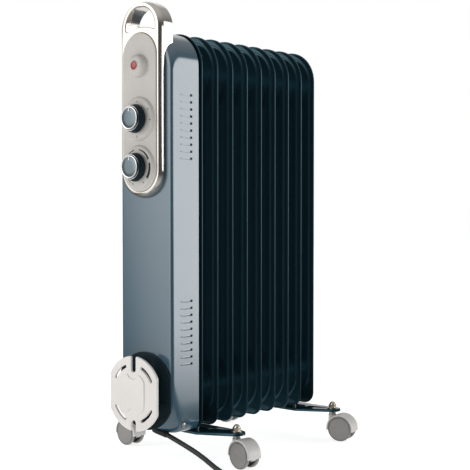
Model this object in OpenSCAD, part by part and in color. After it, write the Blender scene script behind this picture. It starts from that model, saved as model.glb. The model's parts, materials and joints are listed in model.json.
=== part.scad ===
// Oil filled radiator heater: nine pressed steel fins on two oil headers, a control
// box with a ring handle, a cord winder and four twin-wheel casters.
// X runs from the control end (-X) to the rear fin, Y across, Z up. The origin lies
// on the floor, under the middle of the heater.

/* [Overall] */
// Height of the top of the ring handle above the floor
handle_top_z = 650; // [640:1:660]
// Wall thickness of the control box and of the other moulded covers
wall_t = 2; // [1.5:0.1:2.5]

/* [Fins] */
// Number of fins
fin_count = 9; // [9]
// Distance from one fin to the next
fin_pitch = 33; // [32:0.5:34]
// Width of a fin
fin_w = 100; // [98:1:102]
// Height of the lower edge of the fins
fin_bottom_z = 47.5; // [47:0.5:49]
// Height of the top of the fins
fin_top_z = 612.5; // [610:0.5:614]
// Radius of the lower corners of a fin
fin_corner_r = 18; // [14:1:22]
// Thickness of the steel sheet
sheet_t = 0.8; // [0.7:0.1:1.2]
// Distance from the outline of a fin to the step of its raised field
fin_step_inset = 8.5; // [7:0.5:10]

/* [Oil headers] */
// Height of the lower header's axis
header_low_z = 100; // [98:1:104]
// Height of the upper header's axis
header_high_z = 557; // [552:1:560]
// Radius of the header where two fins meet
header_r = 19; // [18:0.5:20]
// Radius of the foot of a header cone
header_cone_r = 36; // [34:1:38]

/* [Control box] */
// Width of the control box
box_w = 100; // [98:0.5:102]
// Depth of the control box
box_d = 55; // [54:0.5:55.5]
// Height of the top of the control box
box_top_z = 610; // [608:0.5:611]
// Height of the bottom of the control box
box_bottom_z = 48; // [47.5:0.5:50]
// Number of louvres in each of the four rows
louvre_count = 10; // [6:1:11]
// Distance between louvres
louvre_pitch = 9.8; // [9:0.1:10]

/* [Ring handle and panel] */
// Width of the ring handle
ring_w = 77; // [76:0.5:79]
// Depth of the ring handle
ring_d = 27.5; // [26:0.5:29]
// Height of the lower end of the ring handle
ring_bottom_z = 377; // [374:1:380]
// Width of the control panel
panel_w = 65; // [63:0.5:65.5]
// Height of the lower end of the control panel
panel_bottom_z = 385.6; // [384:0.2:388]
// Height of the upper end of the control panel
panel_top_z = 605.7; // [602:0.1:607]

/* [Knobs] */
// Height of the selector knob's axis
selector_z = 486.7; // [486:0.1:490]
// Height of the thermostat knob's axis
thermostat_z = 419.6; // [419:0.1:421]
// Radius of a knob at its widest
knob_r = 20; // [19:0.5:21]
// Radius of the spindles
spindle_r = 3; // [2.9:0.05:3.1]

/* [Cord winder] */
// Height of the winder's axis
winder_z = 105; // [104:0.5:107]
// Radius of the winder's front plate
winder_r = 52.5; // [51:0.5:53]
// Width of the winder's front plate between its flats
winder_w = 92; // [88:1:94]
// Width of the groove that the cord is wound in
winder_groove = 19; // [17:0.5:20]

/* [Feet and casters] */
// Distance from the middle plane to the stem of each caster
stem_y = 99.5; // [98:0.5:102]
// Width of a foot at its middle
foot_w = 50; // [46:1:52]
// Radius of a caster wheel
wheel_r = 19.5; // [19:0.1:19.8]
// Distance from the stem of a caster to its wheel axle
caster_trail = 16.2; // [15.5:0.1:17]
// Radius of the stem of a caster
stem_r = 3; // [2.9:0.05:3.1]
// Radius of the axle of a caster
axle_r = 2; // [1.9:0.05:2.2]
// Turn of the front right caster about its stem, from straight outwards
front_right_yaw = 7.5; // [-180:0.5:180]
// Turn of the front left caster about its stem, from straight outwards
front_left_yaw = -4; // [-180:0.5:180]
// Turn of the rear right caster about its stem, from straight outwards
rear_right_yaw = -12.5; // [-180:0.5:180]
// Turn of the rear left caster about its stem, from straight outwards
rear_left_yaw = 5; // [-180:0.5:180]

/* [Mains cord] */
// Diameter of the mains cord
cord_d = 7; // [7]
// Diameter of the coil at the middle of its turns
coil_mid_d = 78; // [74:1:82]

/* [Hidden] */

// Facets of full circles
round_fn = 64;
// Segments in an arc of an outline
arc_n = 16;

// Colours
petrol = [0.09, 0.16, 0.19];
steel_blue = [0.48, 0.57, 0.62];
warm_grey = [0.77, 0.75, 0.72];
nickel = [0.80, 0.79, 0.76];
off_white = [0.91, 0.89, 0.87];
pale_grey = [0.80, 0.79, 0.77];
zinc = [0.70, 0.70, 0.68];
soot = [0.10, 0.10, 0.10];
signal_red = [0.80, 0.15, 0.12];
bakelite = [0.86, 0.82, 0.70];

// Places along the stack
front_x = -153.5;
box_back_x = front_x + box_d;
fin_first_x = front_x + 63;
front_foot_x = fin_x(1) + fin_pitch / 2;
rear_foot_x = fin_x(8) + fin_pitch / 2;
last_fin = fin_count;

// Fin section
rim_t = 2.2;
rim_w = 1.6;
field_t = 5.2;
field_corner_r = 38;
channel_t = 10;
channel_w = 17;
channel_y = 15;
cone_base = field_t / 2;
cone_wall = 1.2;

// Screws through the sides of the cover
side_screw_x = front_x + 24;
side_screw_z = box_bottom_z + 12;
side_screw_r = 2.1;

// Ring and panel faces; the ring's edge as pairs of depth and inset
ring_edge = [[0, 2.6], [0.9, 1.8], [2, 1.45], [11, 0]];
ring_front_x = front_x - 11;
panel_front_x = front_x - 12.8;
dial_t = 4;
dial_r = 31;
dial_face_r = 28.5;
panel_posts = [[-12, 393.5], [12, 393.5], [-12, 581], [12, 581]];
screw_r = 1.7;
plate_screw_y = 12;
lens_z = 560;
lens_r = 6;
dome_r = 16.5;
dome_h = 10;
knob_h = 16.5;
knob_front_r = 16.4;
knob_back_r = 17.5;
knob_trim_r = 15.4;
knob_face_r = 13.3;
knob_gap = 0.6;
knob_back_x = panel_front_x - dial_t - knob_gap;
knob_front_x = knob_back_x - knob_h;
running_gap = 0.05;

// Cord winder faces
flange_t = 2.5;
plate_t = 4;
flange_x = front_x - flange_t;
plate_back_x = flange_x - winder_groove;
plate_front_x = plate_back_x - plate_t;
hub_r = 27;

// Foot section
foot_t = 1.6;
foot_mid_z = 45.5;
foot_mid_half = 46;
foot_rise = 3.2;
foot_tip_r = 12.5;
lip_h = 2.9;
lip_z = foot_mid_z - foot_t - lip_h;
stem_seat_z = foot_mid_z - 0.9;
washer_z = foot_mid_z + 3.7;
u_bolt_r = 24.5;
u_rod_r = 2.5;

// Caster section
axle_z = wheel_r;
hood_r = 22;
hood_half_w = 12.2;
wheel_inner = 6.8;
wheel_outer = 12.8;
stem_low_z = 24;
collar_low_z = 40.4;

// Route of the mains cord, and the sides of its tube
cord_sides = 10;
cord_points = [
    [-143.5, -31.1, 46.1], [-143.5, -44, 42.5], [-143.4, -58, 38.3], [-142.6, -72, 33.6], [-141, -86, 28],
    [-138.8, -98, 21.6], [-136.6, -109, 14.6], [-135, -120, 8.6], [-134.2, -132, 5], [-134.2, -145, 3.8],
    [-135.5, -158, 3.6], [-138.5, -171, 3.6], [-143.5, -184, 3.6], [-151, -196, 3.6], [-161, -207, 3.6],
    [-174, -217, 3.6], [-189, -225, 3.6], [-204.5, -230.2, 3.6]
];
coil_x = -224;
coil_y = -197;
coil_tube_r = 10.5;

// ---- Outlines, all in the YZ plane ----

function arc(cy, cz, r, a0, a1) =
    [for (i = [0 : arc_n])
        let (a = a0 + (a1 - a0) * i / arc_n)
        [cy + r * cos(a), cz + r * sin(a)]];

// A shape with a half-round top and rounded lower corners
function arch(w, z0, z1, corner) = concat(
    arc(0, z1 - w / 2, w / 2, 0, 90),
    arc(0, z1 - w / 2, w / 2, 90 + 90 / arc_n, 180),
    arc(-w / 2 + corner, z0 + corner, corner, 180, 270),
    arc(w / 2 - corner, z0 + corner, corner, 270, 360)
);

function fin_x(i) = fin_first_x + fin_pitch * (i - 1);

module along_x(x, t) {
    translate([x, 0, 0]) rotate([90, 0, 90]) linear_extrude(height = t) children();
}

// Round bar or hole along X
module x_rod(x, y, z, r, t) {
    translate([x, y, z]) rotate([0, 90, 0]) cylinder(r = r, h = t, $fn = round_fn);
}

module x_cone(x, y, z, r0, r1, t) {
    translate([x, y, z]) rotate([0, 90, 0]) cylinder(r1 = r0, r2 = r1, h = t, $fn = round_fn);
}

// ---- Radiator ----

module fin_outline(inset) {
    polygon(arch(fin_w - 2 * inset, fin_bottom_z + inset, fin_top_z - inset, fin_corner_r - inset));
}

module fin_sheet(x, grow) {
    inset = fin_step_inset + grow;
    along_x(x - field_t / 2 + grow, field_t - 2 * grow)
        polygon(arch(fin_w - 2 * inset, fin_bottom_z + inset, fin_top_z - inset, field_corner_r - grow));
}

module fin_channels(x, grow) {
    for (side = [-1, 1]) {
        translate([x - channel_t / 2 + grow, side * channel_y - channel_w / 2 + grow, header_low_z])
            cube([channel_t - 2 * grow, channel_w - 2 * grow, header_high_z - header_low_z]);
    }
}

module header_cones(x, grow, front, rear) {
    over = grow > 0 ? 0.01 : 0;
    neck_r = header_r - grow;
    foot_r = header_cone_r - grow;
    base = cone_base - grow;
    for (z = [header_low_z, header_high_z]) {
        if (front > 0)
            x_cone(x - front - over, 0, z, neck_r, foot_r, front - base);
        if (rear > 0)
            x_cone(x + base + over, 0, z, foot_r, neck_r, rear - base);
    }
}

module fin(i) {
    x = fin_x(i);
    half = fin_pitch / 2;
    front = i == 1 ? x - box_back_x : half;
    rear = i == last_fin ? 12 : half;
    bore_r = header_r - 4;
    color(petrol) difference() {
        union() {
            along_x(x - sheet_t, 2 * sheet_t)
                fin_outline(0);
            along_x(x - rim_t / 2, rim_t) difference() {
                fin_outline(0);
                fin_outline(rim_w);
            }
            fin_sheet(x, 0);
            fin_channels(x, 0);
            header_cones(x, 0, front, rear);
        }
        fin_sheet(x, sheet_t);
        fin_channels(x, sheet_t);
        for (z = [header_low_z, header_high_z]) {
            open_front = i > 1 || z == header_low_z;
            x0 = open_front ? x - front - 1 : x - front + sheet_t;
            x1 = i < last_fin ? x + rear + 1 : x + rear - sheet_t;
            x_rod(x0, 0, z, bore_r, x1 - x0);
        }
        header_cones(x, cone_wall, i > 1 ? front : 0, i < last_fin ? rear : 0);
    }
}

module heating_element() {
    leg_y = 6;
    rod_r = 4;
    end_x = fin_x(last_fin) - 20;
    start_x = box_back_x - 22;
    color(zinc) {
        for (side = [-1, 1])
            x_rod(start_x, side * leg_y, header_low_z, rod_r, end_x - start_x);
        translate([end_x, 0, header_low_z]) rotate([0, 0, -90]) rotate_extrude(angle = 180, $fn = round_fn)
            translate([leg_y, 0]) circle(r = rod_r, $fn = 24);
    }
}

module element_flange() {
    leg_y = 6;
    rod_r = 4;
    color("goldenrod") difference() {
        union() {
            x_rod(box_back_x - 10, 0, header_low_z, 21, 8);
            x_rod(box_back_x - 2, 0, header_low_z, header_r - 4, 12);
        }
        for (side = [-1, 1])
            x_rod(box_back_x - 20, side * leg_y, header_low_z, rod_r, 40);
    }
}

// ---- Control box ----

// Section of the box at a distance from its front face: half width, top, bottom, corner
module box_slice(x, t, half_w, top_z, bottom_z, corner) {
    along_x(x, t) polygon(arch(2 * half_w, bottom_z, top_z, corner));
}

module box_form(grow) {
    hw = box_w / 2 - grow;
    top = box_top_z - grow;
    low = box_bottom_z + grow;
    x = front_x + grow;
    hull() {
        box_slice(x, 0.1, hw - 4.5, top - 19, low + 14, hw - 5);
        box_slice(x + 1.3, 0.1, hw - 1.6, top - 13, low + 10.5, hw - 2);
        box_slice(x + 4.5, 0.1, hw, top - 8, low + 7, hw - 3);
        box_slice(x + 10, 0.1, hw, top - 3, low + 3, hw - 12);
        box_slice(x + 19, box_d - 19 - grow, hw, top, low, 15);
    }
}

module louvre_rows() {
    louvre_l = 21;
    slot_h = 2.4;
    slot_l = 5;
    for (side = [-1, 1])
        for (row_z = [431, 144])
            for (i = [0 : louvre_count - 1])
                translate([front_x + 18 + louvre_l - slot_l, side * box_w / 2 - 5, row_z + louvre_pitch * i])
                    cube([slot_l, 10, slot_h]);
}

module box_cover() {
    window_w = 44;
    color(steel_blue) difference() {
        box_form(0);
        hull() {
            box_inner_front();
            box_slice(front_x + 19, box_d, box_w / 2 - wall_t, box_top_z - wall_t, box_bottom_z + wall_t, 13);
        }
        translate([front_x - 1, -window_w / 2, thermostat_z - 19])
            cube([5, window_w, selector_z - thermostat_z + 40]);
        louvre_rows();
        for (y = [-plate_screw_y, plate_screw_y])
            x_rod(front_x - 1, y, winder_z, screw_r, 6);
        for (at = panel_posts)
            x_rod(front_x - 1, at[0], at[1], screw_r, 6);
        for (side = [-1, 1])
            translate([side_screw_x, side * (box_w / 2 + 3), side_screw_z]) rotate([side * 90, 0, 0])
                cylinder(r = side_screw_r, h = 12, $fn = 24);
    }
}

// Cavity of the box near its front face
module box_inner_front() {
    hw = box_w / 2 - wall_t;
    box_slice(front_x + wall_t, 0.1, hw - 4.5, box_top_z - 19 - wall_t, box_bottom_z + 14 + wall_t, hw - 5);
    box_slice(front_x + 4.5, 0.1, hw - 0.8, box_top_z - 10 - wall_t, box_bottom_z + 8 + wall_t, hw - 4);
}

function stadium(w, z0, z1) = concat(
    arc(0, z1 - w / 2, w / 2, 0, 180),
    arc(0, z0 + w / 2, w / 2, 180, 360)
);

module box_back() {
    inset = wall_t + 0.3;
    lug_y = box_w / 2 - wall_t - 3.1;
    color(petrol) difference() {
        union() {
            along_x(box_back_x - 2, 2)
                polygon(arch(box_w - 2 * inset, box_bottom_z + inset, box_top_z - inset, 12.5));
            for (side = [-1, 1])
                translate([front_x + 20, side * lug_y - 1, box_bottom_z + 9]) cube([box_d - 21, 2, 9]);
        }
        x_rod(box_back_x - 3, 0, header_low_z, header_r - 3.8, 4);
        translate([side_screw_x, box_w / 2, side_screw_z]) rotate([90, 0, 0])
            cylinder(r = side_screw_r, h = box_w, $fn = 24);
    }
}

// ---- Ring handle and panel ----

module ring_form() {
    hull() {
        for (step = ring_edge)
            along_x(ring_front_x + step[0], 0.1)
                polygon(stadium(ring_w - 2 * step[1], ring_bottom_z + step[1], handle_top_z - step[1]));
        along_x(ring_front_x + ring_d - 0.1, 0.1)
            polygon(stadium(ring_w, ring_bottom_z, handle_top_z));
    }
}

module handle_ring() {
    bar_w = 8;
    hole_gap = 0.2;
    bow_gap = 8;
    bow_r = 78;
    grip_r = 29;
    grip_z = handle_top_z - bar_w - grip_r;
    color(nickel) difference() {
        ring_form();
        along_x(ring_front_x - 1, ring_d + 2) {
            polygon(stadium(panel_w + 2 * hole_gap, panel_bottom_z - hole_gap, panel_top_z + hole_gap));
            difference() {
                union() {
                    polygon(arc(0, grip_z, grip_r, 0, 180));
                    translate([-grip_r, grip_z - 10]) square([2 * grip_r, 10.2]);
                }
                translate([0, panel_top_z + bow_gap - bow_r]) circle(r = bow_r, $fn = 120);
            }
        }
        box_form(-0.2);
    }
}

module control_panel() {
    skin = 2.5;
    color(warm_grey) difference() {
        union() {
            along_x(panel_front_x, front_x - panel_front_x)
                polygon(stadium(panel_w, panel_bottom_z, panel_top_z));
            for (z = [selector_z, thermostat_z])
                x_cone(panel_front_x - dial_t, 0, z, dial_face_r, dial_r, dial_t + 0.5);
            x_cone(panel_front_x - dome_h, 0, lens_z, 8, dome_r, dome_h);
        }
        difference() {
            along_x(panel_front_x + skin, 20)
                polygon(stadium(panel_w - 2 * skin, panel_bottom_z + skin, panel_top_z - skin));
            for (at = panel_posts)
                x_rod(panel_front_x, at[0], at[1], 4, front_x - panel_front_x);
        }
        for (at = panel_posts)
            x_rod(front_x - 7, at[0], at[1], screw_r, 10);
        for (z = [selector_z, thermostat_z])
            x_rod(panel_front_x - 5, 0, z, 5.5, 20);
        x_rod(panel_front_x - 20, 0, lens_z, lens_r, 30);
    }
}

module indicator_lens() {
    color(signal_red) {
        x_rod(panel_front_x - dome_h + 0.5, 0, lens_z, lens_r, 8);
        x_cone(panel_front_x - dome_h - 1, 0, lens_z, lens_r - 1.5, lens_r, 1.5);
    }
}

module indicator_lamp() {
    color("orange") {
        x_rod(panel_front_x - 1.5, 0, lens_z, lens_r, 4);
        x_rod(panel_front_x + 2.5, 0, lens_z, 4.5, 6);
    }
}

// Rotary body behind the panel with a threaded nose round its spindle
module rotary_body(z, w, h, depth) {
    nose_x = panel_front_x + 2.5;
    difference() {
        union() {
            translate([nose_x, -w / 2, z - h / 2]) cube([depth, w, h]);
            x_rod(panel_front_x - 0.8, 0, z, 5.2, 5);
        }
        x_rod(panel_front_x - 2, 0, z, spindle_r + running_gap, depth);
    }
}

module thermostat() {
    color(bakelite) rotary_body(thermostat_z, 34, 34, 24);
}

module selector_switch() {
    color(bakelite) rotary_body(selector_z, 36, 36, 20);
}

module spindle(z) {
    color(zinc) x_rod(knob_front_x + 3.5, 0, z, spindle_r, panel_front_x + 14 - knob_front_x - 3.5);
}

module knob(z) {
    shoulder = 3.5;
    color(petrol) difference() {
        union() {
            x_cone(knob_front_x + 0.8, 0, z, knob_front_r, knob_r, knob_h - shoulder - 0.8);
            x_cone(knob_back_x - shoulder, 0, z, knob_r, knob_back_r, shoulder);
        }
        x_rod(knob_front_x + 3.5, 0, z, spindle_r, knob_h);
        x_rod(knob_back_x - 8, 0, z, 16, 9);
        x_rod(knob_front_x, 0, z, knob_trim_r, 2);
    }
    color(petrol) difference() {
        x_rod(knob_back_x - 9, 0, z, 5.4, 8.4);
        x_rod(knob_back_x - 10, 0, z, spindle_r, 12);
    }
}

module knob_trim(z) {
    color(nickel) difference() {
        x_rod(knob_front_x, 0, z, knob_trim_r, 2);
        x_rod(knob_front_x - 1, 0, z, knob_face_r, 4);
    }
}

module knob_face(z) {
    color(steel_blue) difference() {
        x_rod(knob_front_x + 0.5, 0, z, knob_face_r, 1.5);
        translate([knob_front_x, -1, z + 10]) cube([1, 2, 3]);
    }
}

// ---- Inside the control box ----

module thermal_cutout() {
    color(soot) {
        x_rod(box_back_x - 10, 0, header_high_z - 50, 8, 8);
        for (side = [-1, 1])
            translate([box_back_x - 18, side * 4 - 0.4, header_high_z - 53]) cube([8.5, 0.8, 6]);
    }
}

module terminal_block() {
    color(off_white) difference() {
        translate([box_back_x - 16, -24, 190]) cube([14, 48, 18]);
        for (i = [-2 : 2])
            x_rod(box_back_x - 17, i * 9, 199, 2.2, 9);
    }
}

// Screw along X with its head on the +X side
module screw_x(x, y, z, reach) {
    x_rod(x, y, z, 3.2, 1.8);
    x_rod(x - reach, y, z, screw_r, reach);
}

module panel_screws() {
    color(zinc)
        for (at = panel_posts)
            screw_x(front_x + wall_t, at[0], at[1], 8);
}

module cover_screws() {
    color(zinc)
        for (side = [-1, 1])
            translate([side_screw_x, side * (box_w / 2), side_screw_z]) rotate([side * -90, 0, 0]) {
                cylinder(r = 3.6, h = 1.6, $fn = 32);
                translate([0, 0, -9]) cylinder(r = side_screw_r, h = 9, $fn = 24);
            }
}

// ---- Cord winder ----

module cropped_disc(r, w) {
    intersection() {
        circle(r = r, $fn = 96);
        square([w, 2 * r + 1], center = true);
    }
}

module cord_drum() {
    notch_y = -17;
    color(petrol) difference() {
        union() {
            along_x(flange_x, flange_t) translate([0, winder_z + 1])
                cropped_disc(winder_r + 2.5, winder_w + 6);
            x_rod(plate_back_x, 0, winder_z, hub_r, winder_groove + 0.5);
        }
        x_rod(plate_back_x - 1, 0, winder_z, hub_r - 3, winder_groove + 1.5);
        along_x(flange_x - 1, 6) translate([notch_y - 1.5, winder_z + 42]) square([3, 20]);
        for (y = [-plate_screw_y, plate_screw_y])
            x_rod(flange_x - 1, y, winder_z, screw_r, 6);
    }
}

// Slot across the rim of the plate, at its top (1) or bottom (-1)
module rim_notch(side, depth) {
    notch_r = 4.6;
    translate([0, side * (winder_r - depth)]) circle(r = notch_r, $fn = 32);
    translate([-notch_r, side > 0 ? winder_r - depth : -winder_r - 1]) square([2 * notch_r, depth + 1]);
}

// Quarter-ring slots near the rim of the plate
module rim_slots() {
    slot_r = 40;
    slot_w = 4.6;
    a0 = 31;
    a1 = 66;
    for (mirror_y = [0, 1]) mirror([mirror_y, 0]) for (mirror_z = [0, 1]) mirror([0, mirror_z])
        polygon(concat(arc(0, 0, slot_r + slot_w / 2, a0, a1), arc(0, 0, slot_r - slot_w / 2, a1, a0)));
}

module cord_plate() {
    post_r = 4.5;
    color(off_white) difference() {
        union() {
            along_x(plate_front_x, plate_t) translate([0, winder_z]) difference() {
                cropped_disc(winder_r, winder_w);
                rim_notch(1, 18);
                rim_notch(-1, 11);
                rim_slots();
            }
            for (y = [-plate_screw_y, plate_screw_y])
                x_rod(plate_back_x - 1, y, winder_z, post_r, winder_groove + 1);
        }
        for (y = [-plate_screw_y, plate_screw_y])
            x_rod(plate_back_x + 4, y, winder_z, screw_r, winder_groove);
    }
}

module cord_plate_screws() {
    color(zinc)
        for (y = [-plate_screw_y, plate_screw_y])
            screw_x(front_x + wall_t, y, winder_z, 13);
}

// ---- Feet ----

module foot_wing(side) {
    w = foot_w / 2 - foot_t;
    rise_angle = atan(foot_rise / (stem_y - foot_mid_half));
    translate([0, side * foot_mid_half, foot_mid_z]) rotate([side * rise_angle, 0, 0]) {
        translate([0, -side * foot_mid_half, -foot_t]) linear_extrude(height = foot_t) foot_outline(side, 0);
        translate([0, -side * foot_mid_half, lip_z - foot_mid_z]) linear_extrude(height = lip_h + 0.2)
            difference() {
                foot_outline(side, 0);
                foot_outline(side, foot_t);
                translate([-w, side * foot_mid_half - 1.2]) square([2 * w, 2.4]);
            }
    }
}

// Plan of a wing, from the middle of the foot to its round tip
module foot_outline(side, inset) {
    w = foot_w / 2 - inset;
    r = foot_tip_r - inset;
    y0 = side * foot_mid_half;
    polygon(concat(
        [[-w, y0 - side], [w, y0 - side]],
        [for (i = [0 : arc_n]) [r * cos(180 * i / arc_n), side * (stem_y + r * sin(180 * i / arc_n))]]
    ));
}

module foot(x) {
    hole_r = stem_r + 0.1;
    color(petrol) difference() {
        union() {
            translate([x - foot_w / 2, -foot_mid_half, foot_mid_z - foot_t])
                cube([foot_w, 2 * foot_mid_half, foot_t]);
            for (edge = [-1, 1])
                translate([x + edge * (foot_w - foot_t) / 2 - foot_t / 2, -foot_mid_half, lip_z])
                    cube([foot_t, 2 * foot_mid_half, lip_h + 0.2]);
            translate([x, 0, 0]) for (side = [-1, 1]) foot_wing(side);
            for (side = [-1, 1])
                translate([x, side * stem_y, stem_seat_z])
                    cylinder(r = 9, h = washer_z - stem_seat_z, $fn = round_fn);
        }
        for (side = [-1, 1]) {
            translate([x, side * stem_y, 30]) cylinder(r = hole_r, h = 40, $fn = round_fn);
            translate([x, side * u_bolt_r, 30]) cylinder(r = 2.7, h = 40, $fn = 32);
        }
    }
}

module foot_u_bolts() {
    low_z = foot_mid_z - foot_t - 3.2;
    color(zinc)
        for (x = [front_foot_x, rear_foot_x]) {
            translate([x, 0, header_low_z]) rotate([90, 0, 90]) rotate_extrude(angle = 180, $fn = round_fn)
                translate([u_bolt_r, 0]) circle(r = u_rod_r, $fn = 24);
            for (side = [-1, 1])
                translate([x, side * u_bolt_r, low_z])
                    cylinder(r = u_rod_r, h = header_low_z - low_z, $fn = 24);
        }
}

module foot_nuts() {
    color(zinc)
        for (x = [front_foot_x, rear_foot_x])
            for (side = [-1, 1])
                translate([x, side * u_bolt_r, foot_mid_z - foot_t - 3]) difference() {
                    cylinder(r = 4.6, h = 3, $fn = 6);
                    translate([0, 0, -1]) cylinder(r = u_rod_r, h = 5, $fn = 24);
                }
}

// ---- Casters ----

module at_stems() {
    for (x = [front_foot_x, rear_foot_x])
        for (side = [-1, 1])
            translate([x, side * stem_y, 0]) children();
}

module caster_stems() {
    color(zinc) at_stems() {
        translate([0, 0, stem_low_z]) cylinder(r = stem_r, h = washer_z + 6 - stem_low_z, $fn = round_fn);
        translate([0, 0, collar_low_z]) cylinder(r = 5, h = stem_seat_z - collar_low_z, $fn = round_fn);
    }
}

module caster_cap_nuts() {
    color(nickel) at_stems() translate([0, 0, washer_z]) difference() {
        union() {
            cylinder(r = 8, h = 1.2, $fn = round_fn);
            translate([0, 0, 1.2]) cylinder(r = 6.2, h = 5, $fn = 6);
            intersection() {
                translate([0, 0, 5]) sphere(r = 5.4, $fn = round_fn);
                translate([0, 0, 10]) cube([20, 20, 10], center = true);
            }
        }
        translate([0, 0, -1]) cylinder(r = stem_r, h = 7, $fn = round_fn);
    }
}

// Places a caster with its trailing side pointing away from the middle plane
module at_caster(x, side, yaw) {
    translate([x, side * stem_y, 0]) rotate([0, 0, side > 0 ? yaw : 180 - yaw]) children();
}

// Round bar along the axle of a caster
module axle_rod(r, w0, w1) {
    translate([w0, caster_trail, axle_z]) rotate([0, 90, 0]) cylinder(r = r, h = w1 - w0, $fn = round_fn);
}

module hood() {
    cavity_r = 20.4;
    web_half = 3;
    socket_r = 6.2;
    socket_low_z = stem_low_z - 2;
    cut_z = axle_z - 3;
    color(pale_grey) difference() {
        union() {
            difference() {
                axle_rod(hood_r, -hood_half_w, hood_half_w);
                axle_rod(cavity_r, -hood_half_w - 1, hood_half_w + 1);
                translate([-20, caster_trail - 30, -10]) cube([40, 60, cut_z + 10]);
            }
            translate([-web_half, 0, 0]) intersection() {
                translate([0, caster_trail, axle_z]) rotate([0, 90, 0])
                    cylinder(r = cavity_r + 0.8, h = 2 * web_half, $fn = round_fn);
                translate([0, -10, 10]) cube([2 * web_half, 50, 40]);
            }
            translate([0, 0, socket_low_z])
                cylinder(r = socket_r, h = collar_low_z - 0.2 - socket_low_z, $fn = round_fn);
        }
        translate([0, 0, stem_low_z - 0.2]) cylinder(r = stem_r + running_gap, h = 30, $fn = round_fn);
        axle_rod(axle_r, -20, 20);
    }
}

module axle() {
    color(zinc) axle_rod(axle_r, -wheel_outer + 0.6, wheel_outer - 0.6);
}

module wheel(side) {
    face = 1.4;
    bore_r = axle_r + running_gap;
    color(pale_grey) translate([0, caster_trail, axle_z]) rotate([0, side * 90, 0]) difference() {
        union() {
            translate([0, 0, wheel_inner])
                cylinder(r = wheel_r, h = wheel_outer - face - wheel_inner, $fn = round_fn);
            translate([0, 0, wheel_inner])
                cylinder(r = wheel_r - 1.8, h = wheel_outer - wheel_inner, $fn = round_fn);
        }
        translate([0, 0, -1]) cylinder(r = bore_r, h = wheel_outer + 0.5, $fn = round_fn);
    }
}

// ---- Mains cord ----

// Frame of the cord at a route point, from the chords beside it
function route_dir(i) =
    let (a = cord_points[max(i - 1, 0)], b = cord_points[min(i + 1, len(cord_points) - 1)])
    (b - a) / norm(b - a);

function ring_of(i) =
    let (d = route_dir(i),
         side = cross(d, [0, 0, 1]) / norm(cross(d, [0, 0, 1])),
         up = cross(side, d))
    [for (k = [0 : cord_sides - 1])
        cord_points[i] + cord_d / 2 * (cos(360 * k / cord_sides) * side + sin(360 * k / cord_sides) * up)];

module mains_cord() {
    n = len(cord_points);
    points = [for (i = [0 : n - 1]) each ring_of(i)];
    walls = [for (i = [0 : n - 2]) for (k = [0 : cord_sides - 1])
        [i * cord_sides + k, i * cord_sides + (k + 1) % cord_sides,
         (i + 1) * cord_sides + (k + 1) % cord_sides, (i + 1) * cord_sides + k]];
    first = [for (k = [cord_sides - 1 : -1 : 0]) k];
    last = [for (k = [0 : cord_sides - 1]) (n - 1) * cord_sides + k];
    color(soot) polyhedron(points = points, faces = concat([first], walls, [last]));
}

module cord_coil() {
    color(soot) translate([coil_x, coil_y, coil_tube_r]) rotate_extrude($fn = round_fn)
        translate([coil_mid_d / 2, 0]) circle(r = coil_tube_r, $fn = 24);
}

module cord_gland() {
    gland_l = 24;
    color(soot) translate(cord_points[0]) rotate([90 + 15.4, 0, 0]) translate([0, 0, -gland_l])
        cylinder(r1 = 6.5, r2 = 4.6, h = gland_l, $fn = round_fn);
}

module mains_plug() {
    pin_gap = 19;
    pin_r = 2.4;
    pin_l = 19;
    body_r = 18;
    body_l = 22;
    neck_r = 9;
    neck_l = 16;
    tail_r = 4.5;
    tail_l = 46;
    color(soot) translate([coil_x, coil_y - coil_mid_d / 2, body_r]) rotate([0, -90, 0]) {
        translate([-2, 0, 0]) cylinder(r = tail_r, h = tail_l + 1, $fn = round_fn);
        translate([0, 0, tail_l]) cylinder(r1 = neck_r, r2 = body_r - 3, h = neck_l, $fn = round_fn);
        translate([0, 0, tail_l + neck_l]) cylinder(r = body_r, h = body_l, $fn = round_fn);
        for (side = [-1, 1])
            translate([0, side * pin_gap / 2, tail_l + neck_l + body_l])
                cylinder(r = pin_r, h = pin_l, $fn = 32);
    }
}

// ---- Nodes ----

fin(1);  // fin_1
fin(2);  // fin_2
fin(3);  // fin_3
fin(4);  // fin_4
fin(5);  // fin_5
fin(6);  // fin_6
fin(7);  // fin_7
fin(8);  // fin_8
fin(9);  // fin_9
heating_element();
element_flange();
box_cover();
box_back();
control_panel();
handle_ring();
indicator_lens();
indicator_lamp();
thermostat();
selector_switch();
thermal_cutout();
terminal_block();
spindle(thermostat_z);  // thermostat_spindle
knob(thermostat_z);  // thermostat_knob
knob_trim(thermostat_z);  // thermostat_knob_trim
knob_face(thermostat_z);  // thermostat_knob_face
spindle(selector_z);  // selector_spindle
knob(selector_z);  // selector_knob
knob_trim(selector_z);  // selector_knob_trim
knob_face(selector_z);  // selector_knob_face
panel_screws();
cover_screws();
cord_drum();
cord_plate();
cord_plate_screws();
foot(front_foot_x);  // front_foot
foot(rear_foot_x);  // rear_foot
foot_u_bolts();
foot_nuts();
caster_stems();
caster_cap_nuts();
at_caster(front_foot_x, -1, front_right_yaw) hood();  // front_right_hood
at_caster(front_foot_x, -1, front_right_yaw) axle();  // front_right_axle
at_caster(front_foot_x, -1, front_right_yaw) wheel(1);  // front_right_wheel_a
at_caster(front_foot_x, -1, front_right_yaw) wheel(-1);  // front_right_wheel_b
at_caster(front_foot_x, 1, front_left_yaw) hood();  // front_left_hood
at_caster(front_foot_x, 1, front_left_yaw) axle();  // front_left_axle
at_caster(front_foot_x, 1, front_left_yaw) wheel(1);  // front_left_wheel_a
at_caster(front_foot_x, 1, front_left_yaw) wheel(-1);  // front_left_wheel_b
at_caster(rear_foot_x, -1, rear_right_yaw) hood();  // rear_right_hood
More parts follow.
